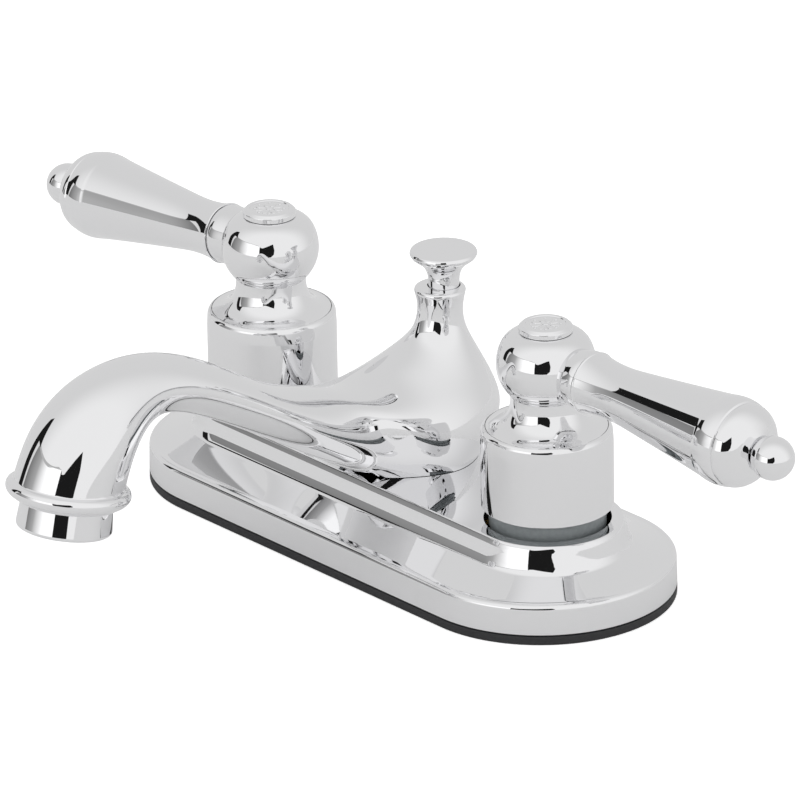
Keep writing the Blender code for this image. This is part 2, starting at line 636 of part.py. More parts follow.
def build_spout():
    """One casting: a vase that holds the lift rod, and the spout that grows out of its side."""
    rows = natural_spline(spout_rows(), SPOUT_RINGS_PER_SPAN)
    lip = Matrix.Translation((0.0, LIP_CENTRE, LIP_Z))
    matrices = []
    for inset, drop in ((1.0, 0.0), (0.35, 0.25)):
        radius = LIP_RADIUS - inset
        matrices.append(lip @ Matrix.Translation((0, 0, -drop)) @ Matrix.Diagonal((radius, -radius, -1, 1)))
    matrices += [section_matrix(row) for row in rows]
    along = outlet_matrix()
    half = BEAD_HALF_HEIGHT
    neck = rows[-1][4]
    for radius, drop in (
        (neck + 0.1, BEAD_DROP - half), (BEAD_RADIUS - 0.6, BEAD_DROP - half * 0.7),
        (BEAD_RADIUS, BEAD_DROP - half * 0.15), (BEAD_RADIUS - 0.1, BEAD_DROP + half * 0.45),
        (BEAD_RADIUS - 0.9, BEAD_DROP + half * 0.85), (OUTLET_FACE_RADIUS + 0.2, BEAD_DROP + half),
        (OUTLET_FACE_RADIUS, OUTLET_FACE_DROP),
    ):
        place = along @ Matrix.Translation((0, 0, drop)) @ Matrix.Rotation(math.pi, 4, "Z")
        matrices.append(place @ Matrix.Diagonal((radius, radius, 1, 1)))
    bm = bmesh.new()
    loops = []
    for matrix in matrices:
        ring = bmesh.ops.create_circle(bm, segments=SPOUT_RING_SIDES, radius=1.0, matrix=matrix)["verts"]
        loops.append(list({edge for vert in ring for edge in vert.link_edges}))
    for first, second in zip(loops, loops[1:]):
        bmesh.ops.bridge_loops(bm, edges=first + second)
    bmesh.ops.holes_fill(bm, edges=bm.edges, sides=0)
    bmesh.ops.recalc_face_normals(bm, faces=bm.faces)
    spout = add_piece("spout_body", bm, MATERIALS["chrome"])

    stub_low = SPOUT_BOSS_TOP + SPOUT_SEAL_THICKNESS + 2 * SEAM
    stub = rod(SPOUT_STUB_RADIUS, stub_low, PLATEAU_HEIGHT + 8.0, SMALL_STEPS)
    seat = bmesh.new()
    bmesh.ops.create_cube(seat, size=1.0)
    bmesh.ops.scale(seat, vec=(80, 80, 20), verts=seat.verts)
    join(spout, add_cutter("spout_seat", moved(seat, z=PLATEAU_HEIGHT + SEAM - 10)), "DIFFERENCE")
    join(spout, add_cutter("spout_stub", stub), "UNION")

    neck_low = LIP_Z - KNOB_NECK_DEPTH - 22.0
    wide = KNOB_NECK_RADIUS + KNOB_BORE_CLEARANCE
    narrow = ROD_RADIUS + ROD_BORE_CLEARANCE
    bore = turned([
        (0, PLATEAU_HEIGHT - 6.0), (narrow, PLATEAU_HEIGHT - 6.0), (narrow, neck_low),
        (narrow + 0.6, neck_low + 1.0), (narrow + 0.6, LIP_Z - KNOB_NECK_DEPTH - 1.0),
        (wide, LIP_Z - KNOB_NECK_DEPTH), (wide, LIP_Z + CLEAR), (0, LIP_Z + CLEAR),
    ], SMALL_STEPS)
    join(spout, add_cutter("rod_bore", moved(bore, y=ROD_Y)), "DIFFERENCE")

    mouth = turned([
        (0, OUTLET_FACE_DROP - OUTLET_BORE_DEPTH - 6.0), (3.5, OUTLET_FACE_DROP - OUTLET_BORE_DEPTH - 6.0),
        (4.5, OUTLET_FACE_DROP - OUTLET_BORE_DEPTH), (OUTLET_BORE_RADIUS, OUTLET_FACE_DROP - OUTLET_BORE_DEPTH),
        (OUTLET_BORE_RADIUS, OUTLET_FACE_DROP + CLEAR), (0, OUTLET_FACE_DROP + CLEAR),
    ])
    join(spout, add_cutter("outlet_bore", moved(mouth, turn=along)), "DIFFERENCE")
    tapped = rod(SPOUT_SCREW_RADIUS + SEAM, stub_low - CLEAR, stub_low + 9.0, SMALL_STEPS)
    join(spout, add_cutter("spout_tapped_hole", tapped), "DIFFERENCE")

    seal_low = SPOUT_BOSS_TOP + SEAM
    seal_high = seal_low + SPOUT_SEAL_THICKNESS
    seal = tube(SPOUT_SCREW_RADIUS + 1.2, SPOUT_BOSS_RADIUS - 0.4, seal_low, seal_high, SMALL_STEPS)
    add_piece("spout_seal", seal, MATERIALS["rubber"])
    screw = turned([
        (0, PLATE_UNDERSIDE - 0.2), (SPOUT_SCREW_RADIUS + 2.2, PLATE_UNDERSIDE - 0.2),
        (SPOUT_SCREW_RADIUS + 2.2, WATERWAY_FLOOR - SEAM), (SPOUT_SCREW_RADIUS, WATERWAY_FLOOR - SEAM),
        (SPOUT_SCREW_RADIUS, stub_low + 8.0), (0, stub_low + 8.0),
    ], SMALL_STEPS)
    add_piece("spout_screw", screw, MATERIALS["steel"])


def build_aerator():
    """The outlet's screwed shell, the screen that it holds, and the washer that seals it."""
    along = outlet_matrix()
    face = OUTLET_FACE_DROP + SEAM
    bottom = face + AERATOR_VISIBLE
    inner = AERATOR_RADIUS - AERATOR_WALL
    thread_inner = AERATOR_THREAD_RADIUS - 1.3
    top = face - AERATOR_THREAD_LENGTH
    ledge = face + 1.2
    shell = turned([
        (thread_inner, top), (AERATOR_THREAD_RADIUS, top), (AERATOR_THREAD_RADIUS, face),
        (AERATOR_RADIUS, face), (AERATOR_RADIUS, bottom - 0.5), (AERATOR_RADIUS - 0.5, bottom),
        (inner - AERATOR_LIP, bottom), (inner - AERATOR_LIP, bottom - 1.6), (inner, bottom - 2.0),
        (inner, ledge), (thread_inner, ledge),
    ], ring=True)
    add_piece("aerator_shell", moved(shell, turn=along), MATERIALS["chrome"])

    screen_low = bottom - 2.0 - SEAM - SCREEN_THICKNESS
    screen = rod(thread_inner - SEAM, screen_low, screen_low + SCREEN_THICKNESS)
    screen = add_piece("aerator_screen", moved(screen, turn=along), MATERIALS["grey_plastic"])
    holes = bmesh.new()
    places = [(0.0, 0.0)]
    for ring in range(1, SCREEN_RINGS + 1):
        for i in range(6 * ring):
            angle = math.tau * i / (6 * ring)
            places.append((ring * SCREEN_HOLE_PITCH * math.cos(angle), ring * SCREEN_HOLE_PITCH * math.sin(angle)))
    for x, y in places:
        bmesh.ops.create_cone(
            holes, cap_ends=True, segments=6, radius1=SCREEN_HOLE_RADIUS, radius2=SCREEN_HOLE_RADIUS,
            depth=SCREEN_THICKNESS + 2 * CLEAR,
            matrix=Matrix.Translation((x, y, screen_low + SCREEN_THICKNESS / 2)),
        )
    join(screen, add_cutter("screen_holes", moved(holes, turn=along)), "DIFFERENCE")

    washer_high = top - SEAM
    washer = tube(
        thread_inner - 1.5, AERATOR_THREAD_RADIUS - 0.3, washer_high - WASHER_THICKNESS, washer_high,
        SMALL_STEPS,
    )
    add_piece("aerator_washer", moved(washer, turn=along), MATERIALS["rubber"])


def build_lift_rod(axis):
    """The knob and the rod that work the pop-up waste. The rod ends bare below the sink."""
    neck_low = KNOB_TOP - KNOB_LIFT - KNOB_NECK_DEPTH + SEAM
    rod_top = neck_low + 3.0
    knob = turned([
        (0, KNOB_TOP), (KNOB_RADIUS - 0.7, KNOB_TOP), (KNOB_RADIUS, KNOB_TOP - 0.7),
        (KNOB_RADIUS - 0.2, KNOB_TOP - 1.5), (KNOB_NECK_RADIUS + 1.2, KNOB_TOP - 3.9),
        (KNOB_NECK_RADIUS, KNOB_TOP - 5.6),
        (KNOB_NECK_RADIUS, neck_low), (ROD_RADIUS + SEAM, neck_low), (ROD_RADIUS + SEAM, rod_top + SEAM),
        (0, rod_top + SEAM),
    ])
    add_piece("lift_knob", knob, MATERIALS["chrome"], parent=axis)
    pull = turned([
        (0, -ROD_BELOW_DECK), (ROD_RADIUS - 0.4, -ROD_BELOW_DECK), (ROD_RADIUS, -ROD_BELOW_DECK + 0.4),
        (ROD_RADIUS, rod_top), (0, rod_top),
    ], 12)
    add_piece("lift_rod", pull, MATERIALS["steel"], parent=axis)


def build_mounting(side, sign):
    """The washer and the winged plastic nut that clamp each shank under the sink."""
    x = sign * HUB_X
    washer_top = -DECK_ROOM
    washer_low = washer_top - DECK_WASHER_THICKNESS
    washer = tube(SHANK_RADIUS + SEAM, DECK_WASHER_RADIUS, washer_low, washer_top)
    add_piece(f"{side}_mounting_washer", moved(washer, x=x), MATERIALS["steel"])
    nut_top = washer_top - DECK_WASHER_THICKNESS - SEAM
    nut_bottom = nut_top - NUT_THICKNESS
    inner = SHANK_RADIUS + SEAM
    nut = turned([
        (inner, nut_bottom), (NUT_RADIUS - 3.5, nut_bottom), (NUT_RADIUS - 3.5, nut_top - 1.8),
        (NUT_RADIUS, nut_top - 1.8), (NUT_RADIUS, nut_top), (inner, nut_top),
    ], ring=True)
    nut = add_piece(f"{side}_mounting_nut", moved(nut, x=x), MATERIALS["white_plastic"])
    for number in range(NUT_WINGS):
        wing = bmesh.new()
        bmesh.ops.create_cube(wing, size=1.0)
        length = NUT_RADIUS + NUT_WING_LENGTH - SHANK_RADIUS - 1.0
        bmesh.ops.scale(wing, vec=(length, NUT_WING_WIDTH, NUT_THICKNESS - 1.0), verts=wing.verts)
        wing = moved(wing, x=SHANK_RADIUS + 1.0 + length / 2)
        turn = Matrix.Rotation(math.tau * (number + 0.5) / NUT_WINGS, 4, "Z")
        wing = moved(wing, x=x, z=nut_bottom + (NUT_THICKNESS - 1.0) / 2 + 0.2, turn=turn)
        join(nut, add_cutter(f"{side}_nut_wing_{number}", wing), "UNION")


clear_scene()
MATERIALS = {
    "chrome": make_material("chrome_plate", (0.86, 0.87, 0.88), 1.0, 0.04),
    "brass": make_material("cast_brass", (0.62, 0.46, 0.22), 1.0, 0.35),
    "steel": make_material("stainless_steel", (0.62, 0.62, 0.61), 1.0, 0.25),
    "rubber": make_material("black_rubber", (0.03, 0.03, 0.03), 0.0, 0.7),
    "grey_plastic": make_material("grey_plastic", (0.22, 0.23, 0.24), 0.0, 0.4),
    "white_plastic": make_material("white_plastic", (0.8, 0.8, 0.78), 0.0, 0.45),
    "ceramic": make_material("white_ceramic", (0.85, 0.84, 0.8), 0.0, 0.15),
    "cutter": make_material("cutter", (1.0, 0.2, 0.2), 0.0, 0.5),
}
build_gasket()
build_deck_plate()
build_waterway()
for hub_side, hub_sign in SIDES.items():
    turning = add_empty(f"{hub_side}_handle_axis", (hub_sign * HUB_X, 0.0, 0.0), LEVER_SWING[hub_side])
    build_shank(hub_side, hub_sign)
    build_valve(hub_side, hub_sign, turning)
    build_skirt(hub_side, hub_sign)
    build_handle(hub_side, hub_sign, turning)
    build_mounting(hub_side, hub_sign)
build_spout()
build_aerator()
build_lift_rod(add_empty("lift_rod_axis", (0.0, ROD_Y, 0.0)))
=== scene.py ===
import math

import bmesh
import bpy
import numpy as np
from mathutils import Matrix, Vector


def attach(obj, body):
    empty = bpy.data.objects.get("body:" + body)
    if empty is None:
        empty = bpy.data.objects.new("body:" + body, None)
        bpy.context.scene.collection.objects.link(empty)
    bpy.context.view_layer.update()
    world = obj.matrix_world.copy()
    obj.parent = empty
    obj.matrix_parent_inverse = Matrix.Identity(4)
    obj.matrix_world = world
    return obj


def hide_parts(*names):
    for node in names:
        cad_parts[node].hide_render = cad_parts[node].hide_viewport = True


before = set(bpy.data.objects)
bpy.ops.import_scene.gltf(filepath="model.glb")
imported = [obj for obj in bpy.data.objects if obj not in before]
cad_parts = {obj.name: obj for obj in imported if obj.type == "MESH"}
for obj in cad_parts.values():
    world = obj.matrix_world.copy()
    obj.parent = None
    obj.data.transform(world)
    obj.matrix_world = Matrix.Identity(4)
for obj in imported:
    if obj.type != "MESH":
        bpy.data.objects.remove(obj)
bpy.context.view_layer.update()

# Gasket: a black moulded rubber pad, as long and as wide as the plate's lower edge. It is punched
# for the two shanks and the lift rod, and it seals the faucet to the sink deck.

MM = 0.001
PLATE_END_RADIUS = 32.4
PLATE_HALF_STRAIGHT = 48.7
HUB_X = 50.8
ROD_Y = 12.2
END_STEPS = 56


def linear(hex_colour):
    """sRGB hex to the linear colour that a shader takes."""
    parts = [int(hex_colour[i:i + 2], 16) / 255 for i in (1, 3, 5)]
    return [c / 12.92 if c <= 0.04045 else ((c + 0.055) / 1.055) ** 2.4 for c in parts] + [1.0]


def add_node(tree, kind, settings, links=()):
    """Add one node: settings are properties or input values by name, links are (input, socket) pairs."""
    node = tree.nodes.new(kind)
    for key, value in settings.items():
        if isinstance(key, str) and key in node.bl_rna.properties:
            setattr(node, key, value)
        else:
            node.inputs[key].default_value = value
    for key, socket in links:
        tree.links.new(socket, node.inputs[key])
    return node


def new_material(name, colour, metallic, roughness):
    """A Principled material: returns it with its tree, its shader and the Object coordinates."""
    material = bpy.data.materials.new(name)
    material.use_nodes = True
    tree = material.node_tree
    shader = tree.nodes["Principled BSDF"]
    shader.inputs["Base Color"].default_value = linear(colour)
    shader.inputs["Metallic"].default_value = metallic
    shader.inputs["Roughness"].default_value = roughness
    place = add_node(tree, "ShaderNodeTexCoord", {}).outputs["Object"]
    return material, tree, shader, place


def vary(tree, shader, place, grain_mm, roughness, bump_mm=0.0, stretch=(1, 1, 1), detail=3.0):
    """Noise at a real grain size that moves the roughness between two values and lifts the surface."""
    mapped = add_node(tree, "ShaderNodeMapping", {"Scale": stretch}, [("Vector", place)])
    noise = add_node(
        tree, "ShaderNodeTexNoise", {"Scale": 1000 / grain_mm, "Detail": detail},
        [("Vector", mapped.outputs["Vector"])],
    )
    spread = add_node(
        tree, "ShaderNodeMapRange",
        {"From Min": 0.3, "From Max": 0.7, "To Min": roughness[0], "To Max": roughness[1]},
        [("Value", noise.outputs["Fac"])],
    )
    tree.links.new(spread.outputs["Result"], shader.inputs["Roughness"])
    if bump_mm:
        bump = add_node(
            tree, "ShaderNodeBump", {"Strength": 1.0, "Distance": bump_mm * MM},
            [("Height", noise.outputs["Fac"])],
        )
        tree.links.new(bump.outputs["Normal"], shader.inputs["Normal"])
    return noise


def tint(tree, shader, fac, low, high):
    """Colour that runs from one hex value to another as a pattern rises."""
    ramp = add_node(tree, "ShaderNodeValToRGB", {}, [("Fac", fac)])
    ramp.color_ramp.elements[0].position = 0.3
    ramp.color_ramp.elements[0].color = linear(low)
    ramp.color_ramp.elements[1].position = 0.7
    ramp.color_ramp.elements[1].color = linear(high)
    tree.links.new(ramp.outputs["Color"], shader.inputs["Base Color"])


def finish_piece(name, bm, material, body, slot, *nodes, sharp=40.0):
    """Scale a mesh drawn in mm to metres, and hand it to the frame in place of its CAD nodes."""
    bmesh.ops.remove_doubles(bm, verts=bm.verts, dist=1e-4)
    bmesh.ops.recalc_face_normals(bm, faces=bm.faces)
    bmesh.ops.scale(bm, vec=(MM, MM, MM), verts=bm.verts)
    mesh = bpy.data.meshes.new(name)
    bm.to_mesh(mesh)
    bm.free()
    mesh.materials.append(material)
    mesh.shade_smooth()
    mesh.set_sharp_from_angle(angle=math.radians(sharp))
    piece = bpy.data.objects.new(name, mesh)
    bpy.context.scene.collection.objects.link(piece)
    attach(piece, body)
    if nodes:
        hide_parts(*nodes)
    return piece


def spun(profile, steps=128, close=False):
    """Spin (radius, height) points once round Z with the spin operator."""
    bm = bmesh.new()
    verts = [bm.verts.new((radius, 0.0, height)) for radius, height in profile]
    edges = [bm.edges.new(pair) for pair in zip(verts, verts[1:])]
    if close:
        edges.append(bm.edges.new((verts[-1], verts[0])))
    bmesh.ops.spin(
        bm, geom=verts + edges, cent=(0, 0, 0), axis=(0, 0, 1),
        angle=math.tau, steps=steps, use_merge=True,
    )
    bmesh.ops.remove_doubles(bm, verts=bm.verts, dist=1e-4)
    return bm


def rounded(corners):
    """A profile from (radius, height, fillet) corners. Each fillet is an arc between close support points."""
    points = []
    for i, (r, z, fillet) in enumerate(corners):
        here = Vector((r, z))
        if not fillet:
            points.append(tuple(here))
            continue
        before = Vector(corners[i - 1][:2]) - here
        after = Vector(corners[(i + 1) % len(corners)][:2]) - here
        a, b = before.normalized(), after.normalized()
        half = a.angle(b) / 2
        reach = min(fillet / math.tan(half), 0.98 * before.length, 0.98 * after.length)
        fillet = reach * math.tan(half)
        centre = here + (a + b).normalized() * (fillet / math.sin(half))
        first, last = here + a * reach - centre, here + b * reach - centre
        turn = math.atan2(first.x * last.y - first.y * last.x, first.dot(last))
        steps = max(3, round(abs(math.degrees(turn)) / 8))
        points.append(tuple(here + a * min(reach + 0.03, before.length * 0.99)))
        for k in range(steps + 1):
            angle = turn * k / steps
            c, s = math.cos(angle), math.sin(angle)
            points.append((centre.x + first.x * c - first.y * s, centre.y + first.x * s + first.y * c))
        points.append(tuple(here + b * min(reach + 0.03, after.length * 0.99)))
    return points


def stadium(profile, half_straight):
    """Spin a profile through half a turn, carry its ends to the middle, and mirror it.

    half_straight gives the distance from the middle to the end rounds, at a radius.
    """
    bm = bmesh.new()
    verts = [bm.verts.new((0.0, -radius, height)) for radius, height in profile]
    edges = [bm.edges.new(pair) for pair in zip(verts, verts[1:])]
    bmesh.ops.spin(
        bm, geom=verts + edges, cent=(0, 0, 0), axis=(0, 0, 1), angle=math.pi, steps=END_STEPS,
    )
    bmesh.ops.remove_doubles(bm, verts=bm.verts, dist=1e-4)
    for vert in bm.verts:
        vert.co.x += half_straight(math.hypot(vert.co.x, vert.co.y))
    ends = [edge for edge in bm.edges if edge.is_boundary]
    made = bmesh.ops.extrude_edge_only(bm, edges=ends)["geom"]
    for vert in made:
        if isinstance(vert, bmesh.types.BMVert):
            vert.co.x = 0.0
    bmesh.ops.remove_doubles(bm, verts=bm.verts, dist=1e-4)
    bmesh.ops.mirror(bm, geom=bm.verts[:] + bm.edges[:] + bm.faces[:], axis="X", merge_dist=1e-3)
    bmesh.ops.remove_doubles(bm, verts=bm.verts, dist=1e-4)
    return bm


def punched(bm, *cutters):
    """Cut closed shapes out of a mesh, and return the result as a new bmesh."""
    made = []
    for source in (bm, *cutters):
        bmesh.ops.recalc_face_normals(source, faces=source.faces)
        mesh = bpy.data.meshes.new("blank")
        source.to_mesh(mesh)
        source.free()
        made.append(bpy.data.objects.new("blank", mesh))
        bpy.context.scene.collection.objects.link(made[-1])
    for cutter in made[1:]:
        modifier = made[0].modifiers.new("punch", "BOOLEAN")
        modifier.operation = "DIFFERENCE"
        modifier.solver = "EXACT"
        modifier.object = cutter
    result = bmesh.new()
    result.from_object(made[0], bpy.context.evaluated_depsgraph_get())
    for blank in made:
        mesh = blank.data
        bpy.data.objects.remove(blank)
        bpy.data.meshes.remove(mesh)
    return result


# Black EPDM rubber, compression moulded: a dull black that goes grey on its fine skin.
rubber, tree, shader, place = new_material("moulded_black_rubber", "#2B2B2D", 0.0, 0.6)
noise = vary(tree, shader, place, 0.6, (0.5, 0.72), bump_mm=0.02)
tint(tree, shader, noise.outputs["Fac"], "#242426", "#333335")

gasket = stadium(
    rounded([(0, 0, 0), (PLATE_END_RADIUS, 0, 0.3), (PLATE_END_RADIUS, 2.2, 0.3), (0, 2.2, 0)]),
    lambda radius: PLATE_HALF_STRAIGHT,
)
holes = []
for x, y, radius in ((-HUB_X, 0, 13.2), (HUB_X, 0, 13.2), (0, ROD_Y, 2.2)):
    hole = spun([(0, -1), (radius, -1), (radius, 3.2), (0, 3.2)], 64)
    bmesh.ops.translate(hole, vec=(x, y, 0), verts=hole.verts)
    holes.append(hole)
finish_piece("rubber_gasket", punched(gasket, *holes), rubber, "faucet", "black_rubber", "base_gasket")

# Deck plate: a zinc die casting, polished and bright chromed. A low rim runs round a hollow cove,
# and a wall rises from the cove to the flat plateau that carries the spout, with a round well at
# each end for a valve.

PLATE_UNDERSIDE = 2.5
RIM_HEIGHT = 10.1
RIM_FILLET = 1.3
COVE_START = PLATE_END_RADIUS - 2.2
COVE_STEPS = 12
COVE_SAG = 0.14
PLATEAU_RADIUS = 18.3
PLATEAU_FLAT = PLATEAU_RADIUS - 0.45
PLATEAU = 20.0
WELL_RADIUS = 15.4


def arc(centre_r, centre_z, radius, start, end, steps):
    """Profile points on an arc, between two angles in degrees."""
    angles = (math.radians(start + (end - start) * i / steps) for i in range(steps + 1))
    return [(centre_r + radius * math.cos(a), centre_z + radius * math.sin(a)) for a in angles]


def shifted(bm, x=0.0, y=0.0, z=0.0, turn=None):
    """Turn a mesh by a matrix, then move it."""
    if turn is not None:
        bmesh.ops.transform(bm, matrix=turn, verts=bm.verts)
    bmesh.ops.translate(bm, vec=(x, y, z), verts=bm.verts)
    return bm


def turned(r, z, *turns):
    """Profile points along arcs: each turn is (radius, from, to), with the face's tilt in degrees."""
    points = []
    for radius, start, end in turns:
        steps = max(4, round(abs(end - start) / 3))
        angles = [math.radians(start + (end - start) * k / steps) for k in range(steps + 1)]
        for a, b in zip(angles, angles[1:]):
            r += radius * (math.cos(a) - math.cos(b))
            z += radius * (math.sin(a) - math.sin(b))
            points.append((r, z))
    return points


def joined(bm, *others):
    """Add closed meshes to a mesh as they are."""
    for other in others:
        mesh = bpy.data.meshes.new("joined")
        other.to_mesh(mesh)
        other.free()
        bm.from_mesh(mesh)
        bpy.data.meshes.remove(mesh)
    return bm


# Decorative chromium over nickel on polished metal: a cool mirror, so its greys are the studio's.
# The plating's faint haze only softens the reflections a little, in patches a few centimetres wide.
chrome, tree, shader, place = new_material("bright_chrome_plate", "#F0F0F1", 1.0, 0.03)
vary(tree, shader, place, 22.0, (0.012, 0.03))

section = [(0.0, 16.0), (15.0, 16.0), (17.6, 11.2), (28.5, 7.4), (30.2, PLATE_UNDERSIDE)]
section += [(PLATE_END_RADIUS - 0.15, PLATE_UNDERSIDE), (PLATE_END_RADIUS, PLATE_UNDERSIDE + 0.15)]
section += [(PLATE_END_RADIUS - 0.1, RIM_HEIGHT - RIM_FILLET)]
section += arc(PLATE_END_RADIUS - 0.1 - RIM_FILLET, RIM_HEIGHT - RIM_FILLET, RIM_FILLET, 0, 90, 14)
section.append((COVE_START, RIM_HEIGHT))
wall = turned(
    PLATEAU_FLAT, PLATEAU, (-0.5, 90, 33), (-4.3, 33, 13), (70.0, 13, 15.5), (6.3, 15.5, 32), (1.6, 32, 70),
)
foot_r, foot_z = wall[-1]
for k in range(1, COVE_STEPS):
    share = k / COVE_STEPS
    sag = COVE_SAG * 4 * share * (1 - share)
    section.append((
        COVE_START + (foot_r - COVE_START) * share, RIM_HEIGHT + (foot_z - RIM_HEIGHT) * share - sag,
    ))
section += wall[::-1] + [(PLATEAU_FLAT, PLATEAU), (0.0, PLATEAU)]


def plate_straight(radius):
    """The rim's end rounds are struck a little inside the hubs, and the plateau's round the hubs."""
    share = (PLATE_END_RADIUS - radius) / (PLATE_END_RADIUS - PLATEAU_RADIUS)
    return PLATE_HALF_STRAIGHT + min(max(share, 0.0), 1.0) * (HUB_X - PLATE_HALF_STRAIGHT)


wells = [
    shifted(spun([(0, 0), (WELL_RADIUS, 0), (WELL_RADIUS, PLATEAU + 2), (0, PLATEAU + 2)]), x=x)
    for x in (-HUB_X, HUB_X)
]
plate = punched(stadium(section, plate_straight), *wells)
finish_piece("plate_shell", plate, chrome, "faucet", "chrome_plate", "deck_plate", sharp=25)

# Valve rings and skirts: a grey moulded ring seats each chromed sleeve over its valve.

SKIRT_RADIUS = 16.0
SKIRT_BOTTOM = 23.7
SKIRT_TOP = 43.0
SKIRT_SHOULDER_RADIUS = 15.85
SKIRT_BORE = 14.7
COLLAR_RADIUS = 10.2
RING_RADIUS = 14.35
RING_FOOT_RADIUS = 14.1
RING_BORE = 12.6
RING_BOTTOM = 18.4
RING_STEP = 22.6
RING_TOP = 26.4
SIDES = {"left": -1, "right": 1}

# Grey acetal, injection moulded: satin, a touch glossier where it is worn by the sleeve.
grey_plastic, tree, shader, place = new_material("moulded_grey_acetal", "#8A9092", 0.0, 0.35)
noise = vary(tree, shader, place, 1.2, (0.3, 0.42), bump_mm=0.01)
tint(tree, shader, noise.outputs["Fac"], "#858B8D", "#92989A")

for side, sign in SIDES.items():
    ring = rounded([
        (RING_BORE, RING_BOTTOM, 0), (RING_FOOT_RADIUS, RING_BOTTOM, 0.2), (RING_FOOT_RADIUS, RING_STEP, 0.15),
        (RING_RADIUS, RING_STEP + 0.2, 0.1), (RING_RADIUS, RING_TOP, 0), (RING_BORE, RING_TOP, 0),
    ])
    finish_piece(
        f"{side}_seat_ring", shifted(spun(ring, close=True), x=sign * HUB_X), grey_plastic,
        "faucet", "grey_plastic", f"{side}_skirt_ring",
    )
    sleeve = rounded([
        (SKIRT_BORE, SKIRT_BOTTOM, 0.2), (SKIRT_RADIUS, SKIRT_BOTTOM, 0.25), (SKIRT_RADIUS, SKIRT_TOP - 3.0, 3.0),
        (SKIRT_SHOULDER_RADIUS, SKIRT_TOP - 0.45, 0),
    ])
    sleeve += turned(SKIRT_SHOULDER_RADIUS, SKIRT_TOP - 0.45, (-1.9, 4, 40), (-0.75, 40, 90))
    sleeve += [
        (SKIRT_BORE + 0.1, SKIRT_TOP + 0.1), (SKIRT_BORE, SKIRT_TOP), (COLLAR_RADIUS + 0.2, SKIRT_TOP),
        (COLLAR_RADIUS, SKIRT_TOP - 0.2), (COLLAR_RADIUS, SKIRT_TOP - 1.3), (SKIRT_BORE - 0.2, SKIRT_TOP - 1.3),
        (SKIRT_BORE, SKIRT_TOP - 1.5),
    ]
    finish_piece(
        f"{side}_sleeve", shifted(spun(sleeve, close=True), x=sign * HUB_X), chrome,
        "faucet", "chrome_plate", f"{side}_skirt",
    )

# Handles: a turned and chromed zinc hub with a ball over a bell-shaped foot. Its lever is screwed
# into the ball's side, and a button with a rosette covers the screw on top.

BALL_Z = 59.8
BALL_RADIUS = 12.0
BALL_BELLY = 11.07
THROAT_RADIUS = 8.64
THROAT_FILLET = 0.45
THROAT_Z = 50.93
CAP_RADIUS = 6.6
CAP_UNDERSIDE = 68.2
CAP_TOP = CAP_UNDERSIDE + 1.9
ROSETTE_Z = CAP_TOP - 0.25
ROSETTE_PETALS = 8
SCREW_BORE = 4.5
HUB_UNDERSIDE = 41.8
FLANGE_Z = 43.2
LEVER_DROOP = 2.6
LEVER_SWING = {"left": 3.7, "right": 4.3}


def fair(points, per_span=8):
    """A natural cubic through the points, read at even steps, so that reflections flow."""
    rows = np.array(points, float)
    count = len(rows)
    reach = np.concatenate([[0], np.cumsum(np.linalg.norm(np.diff(rows, axis=0), axis=1))])
    gap = np.diff(reach)
    system = np.eye(count)
    right = np.zeros_like(rows)
    for i in range(1, count - 1):
        system[i, i - 1:i + 2] = gap[i - 1], 2 * (gap[i - 1] + gap[i]), gap[i]
        right[i] = 6 * ((rows[i + 1] - rows[i]) / gap[i] - (rows[i] - rows[i - 1]) / gap[i - 1])
    bend = np.linalg.solve(system, right)
    found = []
    for i in range(count - 1):
        for k in range(per_span):
            t = gap[i] * k / per_span
            a, b = gap[i] - t, t
            found.append(tuple(
                (bend[i] * a ** 3 + bend[i + 1] * b ** 3) / (6 * gap[i])
                + (rows[i] / gap[i] - bend[i] * gap[i] / 6) * a
                + (rows[i + 1] / gap[i] - bend[i + 1] * gap[i] / 6) * b
            ))
    return found + [tuple(rows[-1])]


belly = []
for k in range(48):
    drop = math.radians(k)
    r, z = BALL_RADIUS * math.cos(drop), BALL_Z - BALL_BELLY * math.sin(drop)
    tilt = math.atan2(math.sin(drop) / BALL_BELLY, math.cos(drop) / BALL_RADIUS)
    if r - THROAT_FILLET * (1 - math.cos(tilt)) < THROAT_RADIUS:
        break
    belly.append((r, z))
neck = turned(*belly[-1], (THROAT_FILLET, -math.degrees(tilt), 0))
neck.append((THROAT_RADIUS, THROAT_Z))
trumpet = turned(THROAT_RADIUS, THROAT_Z, (8.93, 0, 25), (5.35, 25, 60), (6.5, 60, 88))
rim_r, rim_z = trumpet[-1]
foot = [(SCREW_BORE - 0.1, HUB_UNDERSIDE), (9.5, HUB_UNDERSIDE), (9.7, HUB_UNDERSIDE + 0.2)]
foot += [(9.7, FLANGE_Z - 0.15), (9.9, FLANGE_Z), (rim_r - 0.1, FLANGE_Z), (rim_r, FLANGE_Z + 0.1)]
foot += [(rim_r, rim_z - 0.1), (rim_r - 0.05, rim_z - 0.03)]
hub_profile = foot + (belly + neck + trumpet)[::-1]
hub_profile += turned(BALL_RADIUS, BALL_Z, (-BALL_RADIUS, 0, 24), (-6.1, 24, 77))
hub_profile += [(SCREW_BORE, CAP_UNDERSIDE - 0.35), (SCREW_BORE, 61.3), (SCREW_BORE - 0.1, 61.3)]

